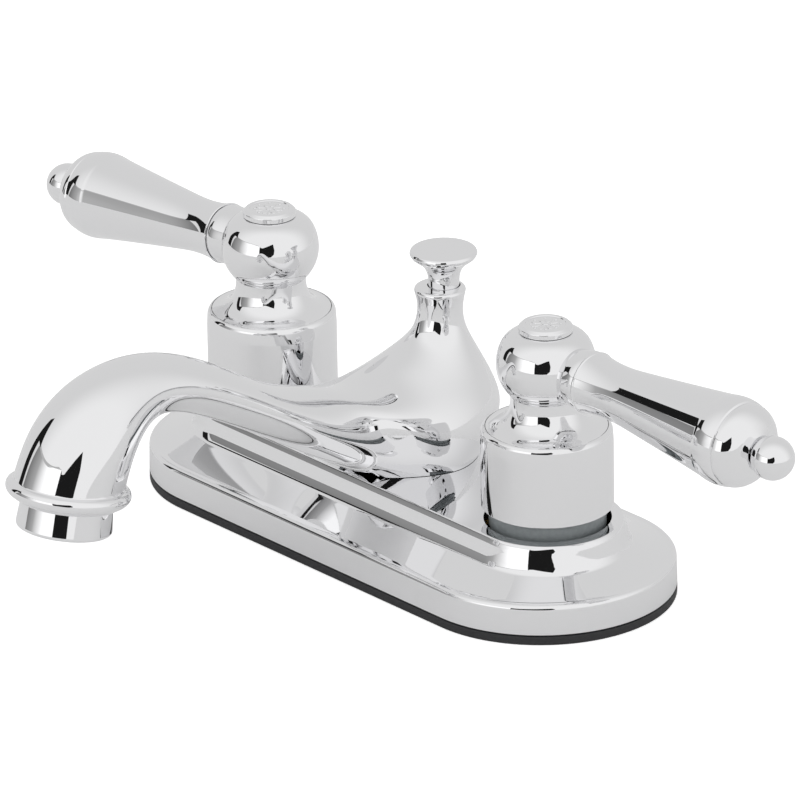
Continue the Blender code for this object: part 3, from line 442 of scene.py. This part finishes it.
for side, sign in SIDES.items():
    swing = Matrix.Rotation(math.radians(LEVER_SWING[side]), 4, "Z")
    outward = Matrix.Rotation(math.radians(90 + LEVER_DROOP), 4, "Y")
    if sign < 0:
        outward = Matrix.Rotation(math.pi, 4, "Z") @ outward
    outward = swing @ outward
    hub = spun(hub_profile, close=True)
    root = spun(
        rounded([(0, 7.0, 0), (6.7, 7.0, 0)])
        + fair([(6.7, 9.6), (7.02, 11.2), (7.3, 12.8), (7.38, 14.2), (7.25, 15.0)], 6)
        + rounded([(7.25, 15.05, 0), (7.0, 15.1, 0), (7.0, 15.2, 0), (0, 15.2, 0)]), 128,
    )
    joined(hub, shifted(root, z=BALL_Z, turn=outward))
    finish_piece(
        f"{side}_hub", shifted(hub, x=sign * HUB_X), chrome, f"{side}_handle", "chrome_plate",
        f"{side}_handle_hub",
    )

    collar = rounded([
        (0, 15.3, 0), (7.45, 15.3, 0.1), (7.68, 15.5, 0.15), (7.55, 15.75, 0.1), (7.42, 15.85, 0),
    ])[:-1]
    grip = fair([
        (7.42, 15.85), (7.22, 17.0), (6.95, 19.0), (6.75, 22.0), (6.8, 25.5), (7.2, 30.0), (7.82, 35.4),
        (8.5, 41.2), (9.22, 47.2), (9.95, 53.0), (10.5, 57.2),
    ])
    band = fair([(10.62, 57.5), (10.85, 59.2), (10.85, 61.0), (10.6, 62.7)], 6)
    dome = fair([(10.3, 63.4), (10.2, 64.3), (9.65, 65.7), (8.6, 67.1), (7.0, 68.3), (5.2, 69.0), (4.35, 69.4)], 8)
    ball = arc(0, 73.35, 5.3, -52, 90, 36)
    lever = spun(collar + grip + band + [(10.15, 62.95), (10.15, 63.15)] + dome + ball, 160)
    finish_piece(
        f"{side}_lever_grip", shifted(lever, x=sign * HUB_X, z=BALL_Z, turn=outward), chrome,
        f"{side}_handle", "chrome_plate", f"{side}_lever", sharp=30,
    )

    button = spun(rounded([
        (0, CAP_UNDERSIDE, 0), (CAP_RADIUS, CAP_UNDERSIDE, 0.2), (CAP_RADIUS - 0.1, CAP_TOP - 0.7, 0.3),
        (5.75, CAP_TOP, 0.3), (4.9, CAP_TOP, 0.15), (4.75, ROSETTE_Z, 0.15), (0, ROSETTE_Z, 0),
    ]), 96)
    bmesh.ops.create_icosphere(
        button, subdivisions=3, radius=1.0,
        matrix=Matrix.Translation((0, 0, ROSETTE_Z)) @ Matrix.Diagonal((0.85, 0.85, 0.33, 1)),
    )
    for k in range(ROSETTE_PETALS):
        turn = Matrix.Rotation(math.tau * (k + 0.5) / ROSETTE_PETALS, 4, "Z")
        leaf = turn @ Matrix.Translation((2.35, 0, ROSETTE_Z)) @ Matrix.Diagonal((1.35, 0.72, 0.3, 1))
        bmesh.ops.create_icosphere(button, subdivisions=3, radius=1.0, matrix=leaf)
        turn = Matrix.Rotation(math.tau * k / ROSETTE_PETALS, 4, "Z")
        bead = turn @ Matrix.Translation((3.55, 0, ROSETTE_Z)) @ Matrix.Diagonal((0.42, 0.42, 0.25, 1))
        bmesh.ops.create_icosphere(button, subdivisions=2, radius=1.0, matrix=bead)
    finish_piece(
        f"{side}_button", shifted(button, x=sign * HUB_X, turn=swing), chrome, f"{side}_handle", "chrome_plate",
        f"{side}_index_cap",
    )

# Spout: one brass casting, polished and chromed. A vase holds the lift rod, and the spout grows out
# of its side, arches over the basin and ends in a round bead over the aerator.

LIP_Y = 10.9
LIP_Z = 61.5
# Each section: its top and under points, as (y, height over the plateau), and its half width.
SECTIONS = [
    ((4.6, 40.5), (17.2, 40.5), 6.3),
    ((5.3, 36.3), (16.5, 36.3), 5.6),
    ((4.0, 31.3), (17.2, 31.0), 6.3),
    ((0.65, 28.2), (20.45, 23.85), 9.35),
    ((-4.8, 25.65), (24.5, 14.6), 13.5),
    ((-11.5, 23.2), (22.75, 5.65), 17.5),
    ((-19.9, 23.5), (11.65, -6.3), 18.4),
    ((-29.5, 26.35), (-3.4, -6.4), 13.6),
    ((-43.3, 31.35), (-30.2, 8.5), 11.1),
    ((-57.4, 39.5), (-49.65, 20.5), 9.3),
    ((-71.7, 46.85), (-66.4, 30.05), 8.7),
    ((-87.2, 50.0), (-77.8, 34.3), 9.0),
    ((-102.2, 46.55), (-84.6, 33.35), 10.9),
    ((-112.8, 37.4), (-89.25, 28.35), 12.7),
    ((-118.6, 26.2), (-92.1, 22.2), 13.3),
]
RING_SIDES = 96
OUTLET_TILT = 10.5
SEAT_GAP = 0.08


def even_spline(rows, per_span):
    """A natural cubic through the sections, with the same step for each span as the casting's own."""
    rows = np.array(rows, float)
    count = len(rows)
    system = np.eye(count)
    right = np.zeros_like(rows)
    for i in range(1, count - 1):
        system[i, i - 1:i + 2] = 1, 4, 1
        right[i] = 6 * (rows[i - 1] - 2 * rows[i] + rows[i + 1])
    bend = np.linalg.solve(system, right)
    found = []
    for step in range((count - 1) * per_span + 1):
        i = min(step // per_span, count - 2)
        b = step / per_span - i
        a = 1 - b
        found.append(a * rows[i] + b * rows[i + 1] + ((a ** 3 - a) * bend[i] + (b ** 3 - b) * bend[i + 1]) / 6)
    return found


def section_matrix(row):
    """Place a unit circle as one section of the spout."""
    top_y, top_z, under_y, under_z, half_width = row
    centre = Vector((0.0, (top_y + under_y) / 2, (top_z + under_z) / 2))
    up = Vector((0.0, (top_y - under_y) / 2, (top_z - under_z) / 2))
    side = Vector((half_width, 0.0, 0.0))
    matrix = Matrix.Identity(4)
    for column, vector in enumerate((side, up, side.cross(up).normalized(), centre)):
        matrix.col[column][:3] = vector
    return matrix


rows = even_spline([(t[0], t[1] + PLATEAU, u[0], u[1] + PLATEAU, w) for t, u, w in SECTIONS], 10)
matrices = []
for radius, y, z in (
    (3.95, ROD_Y, LIP_Z - 8.0), (3.95, ROD_Y, LIP_Z - 0.2), (4.05, ROD_Y - 0.03, LIP_Z), (5.25, LIP_Y, LIP_Z),
    (5.6, LIP_Y, LIP_Z - 0.03), (5.95, LIP_Y, LIP_Z - 0.16), (6.2, LIP_Y, LIP_Z - 0.42), (6.3, LIP_Y, LIP_Z - 0.8),
):
    matrices.append(Matrix.Translation((0.0, y, z)) @ Matrix.Diagonal((radius, -radius, -1, 1)))
matrices += [section_matrix(row) for row in rows]
last = rows[-1]
outlet = Vector((0.0, (last[0] + last[2]) / 2, (last[1] + last[3]) / 2))
tilt = math.radians(OUTLET_TILT)
down = Vector((0.0, -math.sin(tilt), -math.cos(tilt)))
along = Matrix.Translation(outlet) @ Vector((0, 0, 1)).rotation_difference(down).to_matrix().to_4x4()
neck = last[4]
bead = fair([
    (neck, 0.0), (neck + 0.12, 0.35), (14.1, 0.62), (14.75, 1.2), (15.0, 2.1), (14.75, 3.1), (14.0, 3.9), (13.0, 4.5),
], 6)
for radius, drop in bead[1:] + [(12.55, 4.75), (12.45, 4.9), (11.15, 4.9), (11.1, 4.85), (11.1, -1.0)]:
    spot = along @ Matrix.Translation((0, 0, drop)) @ Matrix.Rotation(math.pi, 4, "Z")
    matrices.append(spot @ Matrix.Diagonal((radius, radius, 1, 1)))
bm = bmesh.new()
loops = []
for matrix in matrices:
    ring = bmesh.ops.create_circle(bm, segments=RING_SIDES, radius=1.0, matrix=matrix)["verts"]
    loops.append(list({edge for vert in ring for edge in vert.link_edges}))
for first, second in zip(loops, loops[1:]):
    bmesh.ops.bridge_loops(bm, edges=first + second)
bmesh.ops.bisect_plane(
    bm, geom=bm.verts[:] + bm.edges[:] + bm.faces[:], dist=1e-4, plane_co=(0, 0, PLATEAU + SEAT_GAP),
    plane_no=(0, 0, 1), clear_inner=True,
)
bmesh.ops.holes_fill(bm, edges=[edge for edge in bm.edges if edge.is_boundary], sides=0)
finish_piece("spout_casting", bm, chrome, "faucet", "chrome_plate", "spout_body", sharp=35)

# Aerator: a chromed brass shell screwed up into the outlet, with a moulded insert whose small holes
# mix air into the stream. Heights run down the outlet's own axis, from the end of the casting.

AERATOR_RADIUS = 11.65
AERATOR_NECK_RADIUS = 11.0
HOLE_RADIUS = 0.62
HOLE_SPACING = 1.75
FACE = 5.2
BOTTOM = FACE + 6.6
shell = rounded([
    (9.5, FACE - 5.9, 0), (10.8, FACE - 5.9, 0), (10.8, FACE, 0), (AERATOR_NECK_RADIUS, FACE, 0.15),
    (AERATOR_RADIUS, BOTTOM, 0.9), (9.15, BOTTOM, 0.35), (9.15, BOTTOM - 1.6, 0.2), (10.1, BOTTOM - 2.0, 0),
    (10.1, FACE + 1.2, 0), (9.5, FACE + 1.2, 0),
])
finish_piece(
    "aerator_sleeve", shifted(spun(shell, close=True), turn=along), chrome, "faucet", "chrome_plate",
    "aerator_shell",
)
insert = spun(rounded([
    (0, BOTTOM - 5.0, 0), (9.1, BOTTOM - 5.0, 0), (9.1, BOTTOM - 2.3, 0.2), (8.2, BOTTOM - 2.3, 0.15),
    (8.0, BOTTOM - 2.7, 0.15), (0, BOTTOM - 2.7, 0),
]), 72)
pins = []
for ring_number in range(5):
    count = 6 * ring_number or 1
    for k in range(count):
        angle = math.tau * k / count
        out = HOLE_SPACING * ring_number
        pin = bmesh.new()
        bmesh.ops.create_cone(pin, cap_ends=True, segments=6, radius1=HOLE_RADIUS, radius2=HOLE_RADIUS, depth=3.0)
        pins.append(shifted(pin, out * math.cos(angle), out * math.sin(angle), BOTTOM - 3.6))
finish_piece(
    "aerator_insert", shifted(punched(insert, joined(bmesh.new(), *pins)), turn=along), grey_plastic,
    "faucet", "grey_plastic", "aerator_screen",
)

# Lift rod: a chromed turned knob on a drawn stainless rod, which works the pop-up waste.

KNOB_TOP = 70.7
KNOB_FOOT = 57.8
ROD_RADIUS = 1.6
ROD_TOP = 60.5
ROD_BOTTOM = -46.0

knob = rounded([
    (0, KNOB_TOP, 0), (7.95, KNOB_TOP, 0.6), (8.3, KNOB_TOP - 0.9, 0.5), (7.9, KNOB_TOP - 1.7, 0.3),
])[:-2]
stalk = fair([
    (7.75, KNOB_TOP - 1.85), (6.6, KNOB_TOP - 2.75), (5.4, KNOB_TOP - 3.75), (4.55, KNOB_TOP - 4.9),
    (4.05, KNOB_TOP - 6.2), (3.85, KNOB_TOP - 7.6), (3.8, KNOB_TOP - 9.2),
])
socket = [(3.8, KNOB_FOOT + 0.1), (3.6, KNOB_FOOT), (ROD_RADIUS + 0.3, KNOB_FOOT)]
socket += [(ROD_RADIUS + 0.3, ROD_TOP + 0.3), (0, ROD_TOP + 0.3)]
knob = spun(knob + stalk + socket)
finish_piece("lift_button", shifted(knob, y=ROD_Y), chrome, "lift_rod", "chrome_plate", "lift_knob")

# Stainless steel, drawn and left bright: fine lines along its length, with a soft mirror.
steel, tree, shader, place = new_material("drawn_stainless_steel", "#C9C8C4", 1.0, 0.25)
noise = vary(tree, shader, place, 0.5, (0.18, 0.32), bump_mm=0.004, stretch=(1, 1, 0.04))
tint(tree, shader, noise.outputs["Fac"], "#BFBEBA", "#D0CFCB")

rod = spun(rounded([
    (0, ROD_BOTTOM, 0), (ROD_RADIUS, ROD_BOTTOM, 0.4), (ROD_RADIUS, ROD_TOP, 0), (0, ROD_TOP, 0),
]), 32)
finish_piece("pull_rod", shifted(rod, y=ROD_Y), steel, "lift_rod", "stainless_steel", "lift_rod")

# Shanks: brass tubes with a half inch pipe thread, brazed under the waterway. A chamfer starts the
# thread, and the hose seals on the flat end.

SHANK_BOTTOM = -50.0
SHANK_BORE = 6.3
ROOT_RADIUS = 9.5
CREST_RADIUS = 10.4
THREAD_LOW = -49.2
THREAD_PITCH = 1.814
THREAD_TURNS = 27
THREAD_STEPS = 40

# Free-machining brass, turned: warm yellow, with fine rings left by the tool.
brass, tree, shader, place = new_material("turned_brass", "#C9A45C", 1.0, 0.28)
noise = vary(tree, shader, place, 0.35, (0.22, 0.4), bump_mm=0.006, stretch=(0.3, 0.3, 4.0))
tint(tree, shader, noise.outputs["Fac"], "#B8924C", "#D3AF69")

for side, sign in SIDES.items():
    bm = bmesh.new()
    ridge = [(9.45, 0.0), (10.32, 0.4), (CREST_RADIUS, 0.5), (10.32, 0.6), (9.45, 1.0)]
    verts = [bm.verts.new((r, 0.0, THREAD_LOW + z * THREAD_PITCH)) for r, z in ridge]
    edges = [bm.edges.new(pair) for pair in zip(verts, verts[1:])]
    bmesh.ops.spin(
        bm, geom=verts + edges, cent=(0, 0, 0), axis=(0, 0, 1), dvec=(0, 0, THREAD_PITCH / THREAD_STEPS),
        angle=math.tau * THREAD_TURNS, steps=THREAD_STEPS * THREAD_TURNS,
    )
    bmesh.ops.remove_doubles(bm, verts=bm.verts, dist=1e-3)
    core = spun(rounded([
        (SHANK_BORE, SHANK_BOTTOM, 0.2), (9.6, SHANK_BOTTOM, 0), (10.15, SHANK_BOTTOM + 0.6, 0),
        (ROOT_RADIUS, SHANK_BOTTOM + 1.6, 0), (ROOT_RADIUS, 1.0, 0), (CREST_RADIUS, 1.4, 0),
        (CREST_RADIUS, 2.7, 0), (SHANK_BORE, 2.7, 0),
    ]), 96, close=True)
    finish_piece(
        f"{side}_threaded_shank", shifted(joined(bm, core), x=sign * HUB_X), brass, "faucet",
        "cast_brass", f"{side}_shank", sharp=50,
    )

# Mounting hardware: a steel washer and a white plastic nut with four wings clamp each shank from
# under the sink.

# White acetal, injection moulded: bright and satin, with a faint cream cast.
white_plastic, tree, shader, place = new_material("moulded_white_acetal", "#E4E3DC", 0.0, 0.4)
noise = vary(tree, shader, place, 1.5, (0.34, 0.48), bump_mm=0.012)
tint(tree, shader, noise.outputs["Fac"], "#DEDDD5", "#E9E8E2")

WASHER_TOP = -27.0
WASHER_BOTTOM = WASHER_TOP - 1.6
WASHER_RADIUS = 16.0
HARDWARE_BORE = 10.7
NUT_TOP = -28.9
NUT_BOTTOM = NUT_TOP - 7.0
NUT_FLANGE_RADIUS = 17.0
NUT_FLANGE_BOTTOM = NUT_TOP - 1.8
NUT_BODY_RADIUS = 13.5
WING_SIZE = (11.6, 4.5, 6.0)
WING_COUNT = 4

for side, sign in SIDES.items():
    washer = rounded([
        (HARDWARE_BORE, WASHER_BOTTOM, 0.2), (WASHER_RADIUS, WASHER_BOTTOM, 0.3),
        (WASHER_RADIUS, WASHER_TOP, 0.3), (HARDWARE_BORE, WASHER_TOP, 0.2),
    ])
    finish_piece(
        f"{side}_clamp_washer", shifted(spun(washer, close=True), x=sign * HUB_X), steel, "faucet",
        "stainless_steel", f"{side}_mounting_washer",
    )
    nut = spun(rounded([
        (HARDWARE_BORE, NUT_BOTTOM, 0.5), (NUT_BODY_RADIUS, NUT_BOTTOM, 0.6),
        (NUT_BODY_RADIUS, NUT_FLANGE_BOTTOM, 0.8), (NUT_FLANGE_RADIUS, NUT_FLANGE_BOTTOM, 0.4),
        (NUT_FLANGE_RADIUS, NUT_TOP, 0.3), (HARDWARE_BORE, NUT_TOP, 0.3),
    ]), 96, close=True)
    for number in range(WING_COUNT):
        wing = bmesh.new()
        bmesh.ops.create_cube(wing, size=1.0)
        bmesh.ops.scale(wing, vec=WING_SIZE, verts=wing.verts)
        bmesh.ops.bevel(
            wing, geom=wing.edges[:], offset=0.9, affect="EDGES", segments=5, profile=0.5, material=-1,
        )
        shifted(wing, x=11.4 + WING_SIZE[0] / 2, z=NUT_BOTTOM + 3.2)
        shifted(wing, turn=Matrix.Rotation(math.tau * (number + 0.5) / WING_COUNT, 4, "Z"))
        joined(nut, wing)
    finish_piece(
        f"{side}_wing_nut", shifted(nut, x=sign * HUB_X), white_plastic, "faucet", "white_plastic",
        f"{side}_mounting_nut",
    )

# Inside parts: the cast waterway, the cartridges, their seals and screws keep their solids.

# Sand-cast brass: dull yellow with the sand's grain in its skin.
cast_brass, tree, shader, place = new_material("sand_cast_brass", "#A98A4E", 1.0, 0.45)
noise = vary(tree, shader, place, 0.8, (0.38, 0.6), bump_mm=0.05, detail=5.0)
tint(tree, shader, noise.outputs["Fac"], "#94763F", "#B8985A")

# Alumina ceramic, lapped flat: white, hard and glossy.
ceramic, tree, shader, place = new_material("lapped_alumina", "#EFEDE6", 0.0, 0.15)
noise = vary(tree, shader, place, 2.5, (0.1, 0.2))
tint(tree, shader, noise.outputs["Fac"], "#EBE8E0", "#F3F1EB")

INSIDE = {
    "waterway_body": cast_brass, "spout_seal": rubber, "spout_screw": steel, "aerator_washer": rubber,
}
for side in SIDES:
    INSIDE.update({
        f"{side}_valve_housing": brass, f"{side}_bonnet_nut": brass, f"{side}_stem": brass,
        f"{side}_seat_seal": rubber, f"{side}_stem_o_ring": rubber, f"{side}_fixed_disc": ceramic,
        f"{side}_moving_disc": ceramic, f"{side}_handle_screw": steel,
    })
for name, material in INSIDE.items():
    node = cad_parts[name]
    for number in range(max(len(node.material_slots), 1)):
        if not node.material_slots:
            node.data.materials.append(material)
        node.material_slots[number].material = material

# Studio: the faucet stands on a pale table in a white tent, dimmer at its back. Round it, far off,
# stand the things that the chrome shows: a dark opening in front, a side panel that brightens
# towards it, the panel's seam and a dark gap beyond the panel.

YAW, PITCH, ROLL = 0.8627052, 0.3986808, -0.0167941
CAMERA_DISTANCE = 2324.804
FOCAL_PIXELS = 9527.70
TARGET_RIGHT, TARGET_UP = -1.84266, 31.91752
PICTURE_PIXELS = 800
SENSOR_WIDTH = 36.0
TENT_CENTRE = 0.06
PANEL_DISTANCE, SEAM_DISTANCE, DARK_DISTANCE = 2.55, 2.52, 2.5
TABLE_RADIUS = 0.72
TABLE_Z = -0.00005

back = Vector((math.sin(YAW) * math.cos(PITCH), -math.cos(YAW) * math.cos(PITCH), math.sin(PITCH)))
right = Vector((math.cos(YAW), math.sin(YAW), 0.0))
up = right.cross(-back)
camera_right = right * math.cos(ROLL) + up * math.sin(ROLL)
camera_up = up * math.cos(ROLL) - right * math.sin(ROLL)
matrix = Matrix.Identity(4)
position = (right * TARGET_RIGHT + up * TARGET_UP + back * CAMERA_DISTANCE) * MM
for column, vector in enumerate((camera_right, camera_up, back, position)):
    matrix.col[column][:3] = vector
camera = bpy.data.objects.new("camera", bpy.data.cameras.new("camera"))
bpy.context.scene.collection.objects.link(camera)
camera.matrix_world = matrix
camera.data.sensor_width = SENSOR_WIDTH
camera.data.lens = FOCAL_PIXELS * SENSOR_WIDTH / PICTURE_PIXELS
camera.data.clip_start = 0.1
camera.data.clip_end = 10.0
bpy.context.scene.camera = camera
bpy.context.scene.view_settings.view_transform = "Standard"


def emitter(name, level):
    """A stage material that only glows: returns it with its tree and its emission node."""
    material = bpy.data.materials.new(name)
    material.use_nodes = True
    tree = material.node_tree
    tree.nodes.clear()
    glow = add_node(tree, "ShaderNodeEmission", {"Strength": level})
    add_node(tree, "ShaderNodeOutputMaterial", {}, [("Surface", glow.outputs["Emission"])])
    return material, tree, glow


def tent_card(name, corners, material, distance):
    """A card in the tent, from corners given as (degrees right of the camera, degrees over the table)."""
    bm = bmesh.new()
    verts = []
    for side_angle, rise_angle in corners:
        a, e = YAW + math.radians(side_angle), math.radians(rise_angle)
        level = distance * math.cos(e)
        verts.append(bm.verts.new(
            (level * math.sin(a), -level * math.cos(a), distance * math.sin(e) + TENT_CENTRE)
        ))
    bm.faces.new(verts)
    mesh = bpy.data.meshes.new(name)
    bm.to_mesh(mesh)
    bm.free()
    mesh.materials.append(material)
    card = bpy.data.objects.new(name, mesh)
    bpy.context.scene.collection.objects.link(card)
    card.visible_camera = False
    card.visible_shadow = False
    return card


dark, _, _ = emitter("tent_opening", 0.012)
tent_card("front_opening", [
    (-26.5, -5), (1, -4), (8, 2), (10, 12), (7.5, 27), (-10, 20.5), (-19, 17), (-24, 17.5), (-26.5, 20),
], dark, DARK_DISTANCE)
tent_card("side_gap", [
    (-119, -6), (-107, -6), (-105.5, 19), (-94, 20.5), (-98, 25), (-103, 31), (-108, 36), (-114, 30),
], dark, DARK_DISTANCE)

# The panel's light rises slowly from its far end, and faster near the opening.
panel, tree, glow = emitter("side_panel", 1.0)
place = add_node(tree, "ShaderNodeTexCoord", {}).outputs["Object"]
turned_place = add_node(tree, "ShaderNodeMapping", {"Rotation": (0, 0, -YAW)}, [("Vector", place)])
flat = add_node(tree, "ShaderNodeSeparateXYZ", {}, [("Vector", turned_place.outputs["Vector"])])
fade = add_node(
    tree, "ShaderNodeMapRange",
    {"From Min": 0.7, "From Max": -0.45, "To Min": 0.15, "To Max": 0.42},
    [("Value", flat.outputs["Y"])],
)
bright_end = add_node(
    tree, "ShaderNodeMapRange",
    {"From Min": -0.45, "From Max": -1.3, "To Min": 0.0, "To Max": 0.78},
    [("Value", flat.outputs["Y"])],
)
both = add_node(
    tree, "ShaderNodeMath", {"operation": "ADD"},
    [(0, fade.outputs["Result"]), (1, bright_end.outputs["Result"])],
)
tree.links.new(both.outputs["Value"], glow.inputs["Strength"])
low_edge = [(a, -9) for a in range(-106, -26, 8)]
high_edge = [(a, 21) for a in range(-34, -106, -8)]
tent_card("side_panel", low_edge + [(-26.5, -5), (-26.5, 20)] + high_edge, panel, PANEL_DISTANCE)

seam, _, _ = emitter("panel_seam", 0.5)
low_edge = [(a, 20.4) for a in range(-98, -26, 8)]
high_edge = [(a, 22) for a in range(-34, -106, -8)]
tent_card("panel_seam", low_edge + [(-26.5, 20)] + high_edge, seam, SEAM_DISTANCE)

world = bpy.data.worlds.new("tent")
bpy.context.scene.world = world
world.use_nodes = True
tree = world.node_tree
background = tree.nodes["Background"]
path = add_node(tree, "ShaderNodeLightPath", {})
place = add_node(tree, "ShaderNodeTexCoord", {}).outputs["Generated"]
turned_place = add_node(tree, "ShaderNodeMapping", {"Rotation": (0, 0, -YAW)}, [("Vector", place)])
flat = add_node(tree, "ShaderNodeSeparateXYZ", {}, [("Vector", turned_place.outputs["Vector"])])
front = add_node(
    tree, "ShaderNodeMapRange",
    {"interpolation_type": "SMOOTHSTEP", "From Min": 0.45, "From Max": -0.4, "To Min": 0.72, "To Max": 0.93},
    [("Value", flat.outputs["Y"])],
)
lit = add_node(
    tree, "ShaderNodeMath", {"operation": "MAXIMUM"},
    [(0, front.outputs["Result"]), (1, path.outputs["Is Camera Ray"])],
)
tree.links.new(lit.outputs["Value"], background.inputs["Strength"])
background.inputs["Color"].default_value = linear("#FFFFFF")

# The table: a pale laminate that bounces the tent's light. It shows white, keeps a faint shadow at
# the gasket's edge, and from below it can be seen through.
table, tree, shader, place = new_material("pale_table", "#F3F3F3", 0.0, 0.8)
path = add_node(tree, "ShaderNodeLightPath", {})
shader.inputs["Specular IOR Level"].default_value = 0.0
vary(tree, shader, place, 40.0, (0.75, 0.85))
lift = add_node(tree, "ShaderNodeMath", {"operation": "MULTIPLY", 1: 0.6}, [(0, path.outputs["Is Camera Ray"])])
shader.inputs["Emission Color"].default_value = linear("#FFFFFF")
tree.links.new(lift.outputs["Value"], shader.inputs["Emission Strength"])
geometry = add_node(tree, "ShaderNodeNewGeometry", {})
clear = add_node(tree, "ShaderNodeBsdfTransparent", {})
either = add_node(
    tree, "ShaderNodeMixShader", {},
    [(0, geometry.outputs["Backfacing"]), (1, shader.outputs["BSDF"]), (2, clear.outputs["BSDF"])],
)
tree.links.new(either.outputs["Shader"], tree.nodes["Material Output"].inputs["Surface"])
bm = bmesh.new()
bmesh.ops.create_circle(
    bm, cap_ends=True, segments=96, radius=TABLE_RADIUS, matrix=Matrix.Translation((0, 0, TABLE_Z)),
)
mesh = bpy.data.meshes.new("table")
bm.to_mesh(mesh)
bm.free()
mesh.materials.append(table)
floor = bpy.data.objects.new("table", mesh)
bpy.context.scene.collection.objects.link(floor)
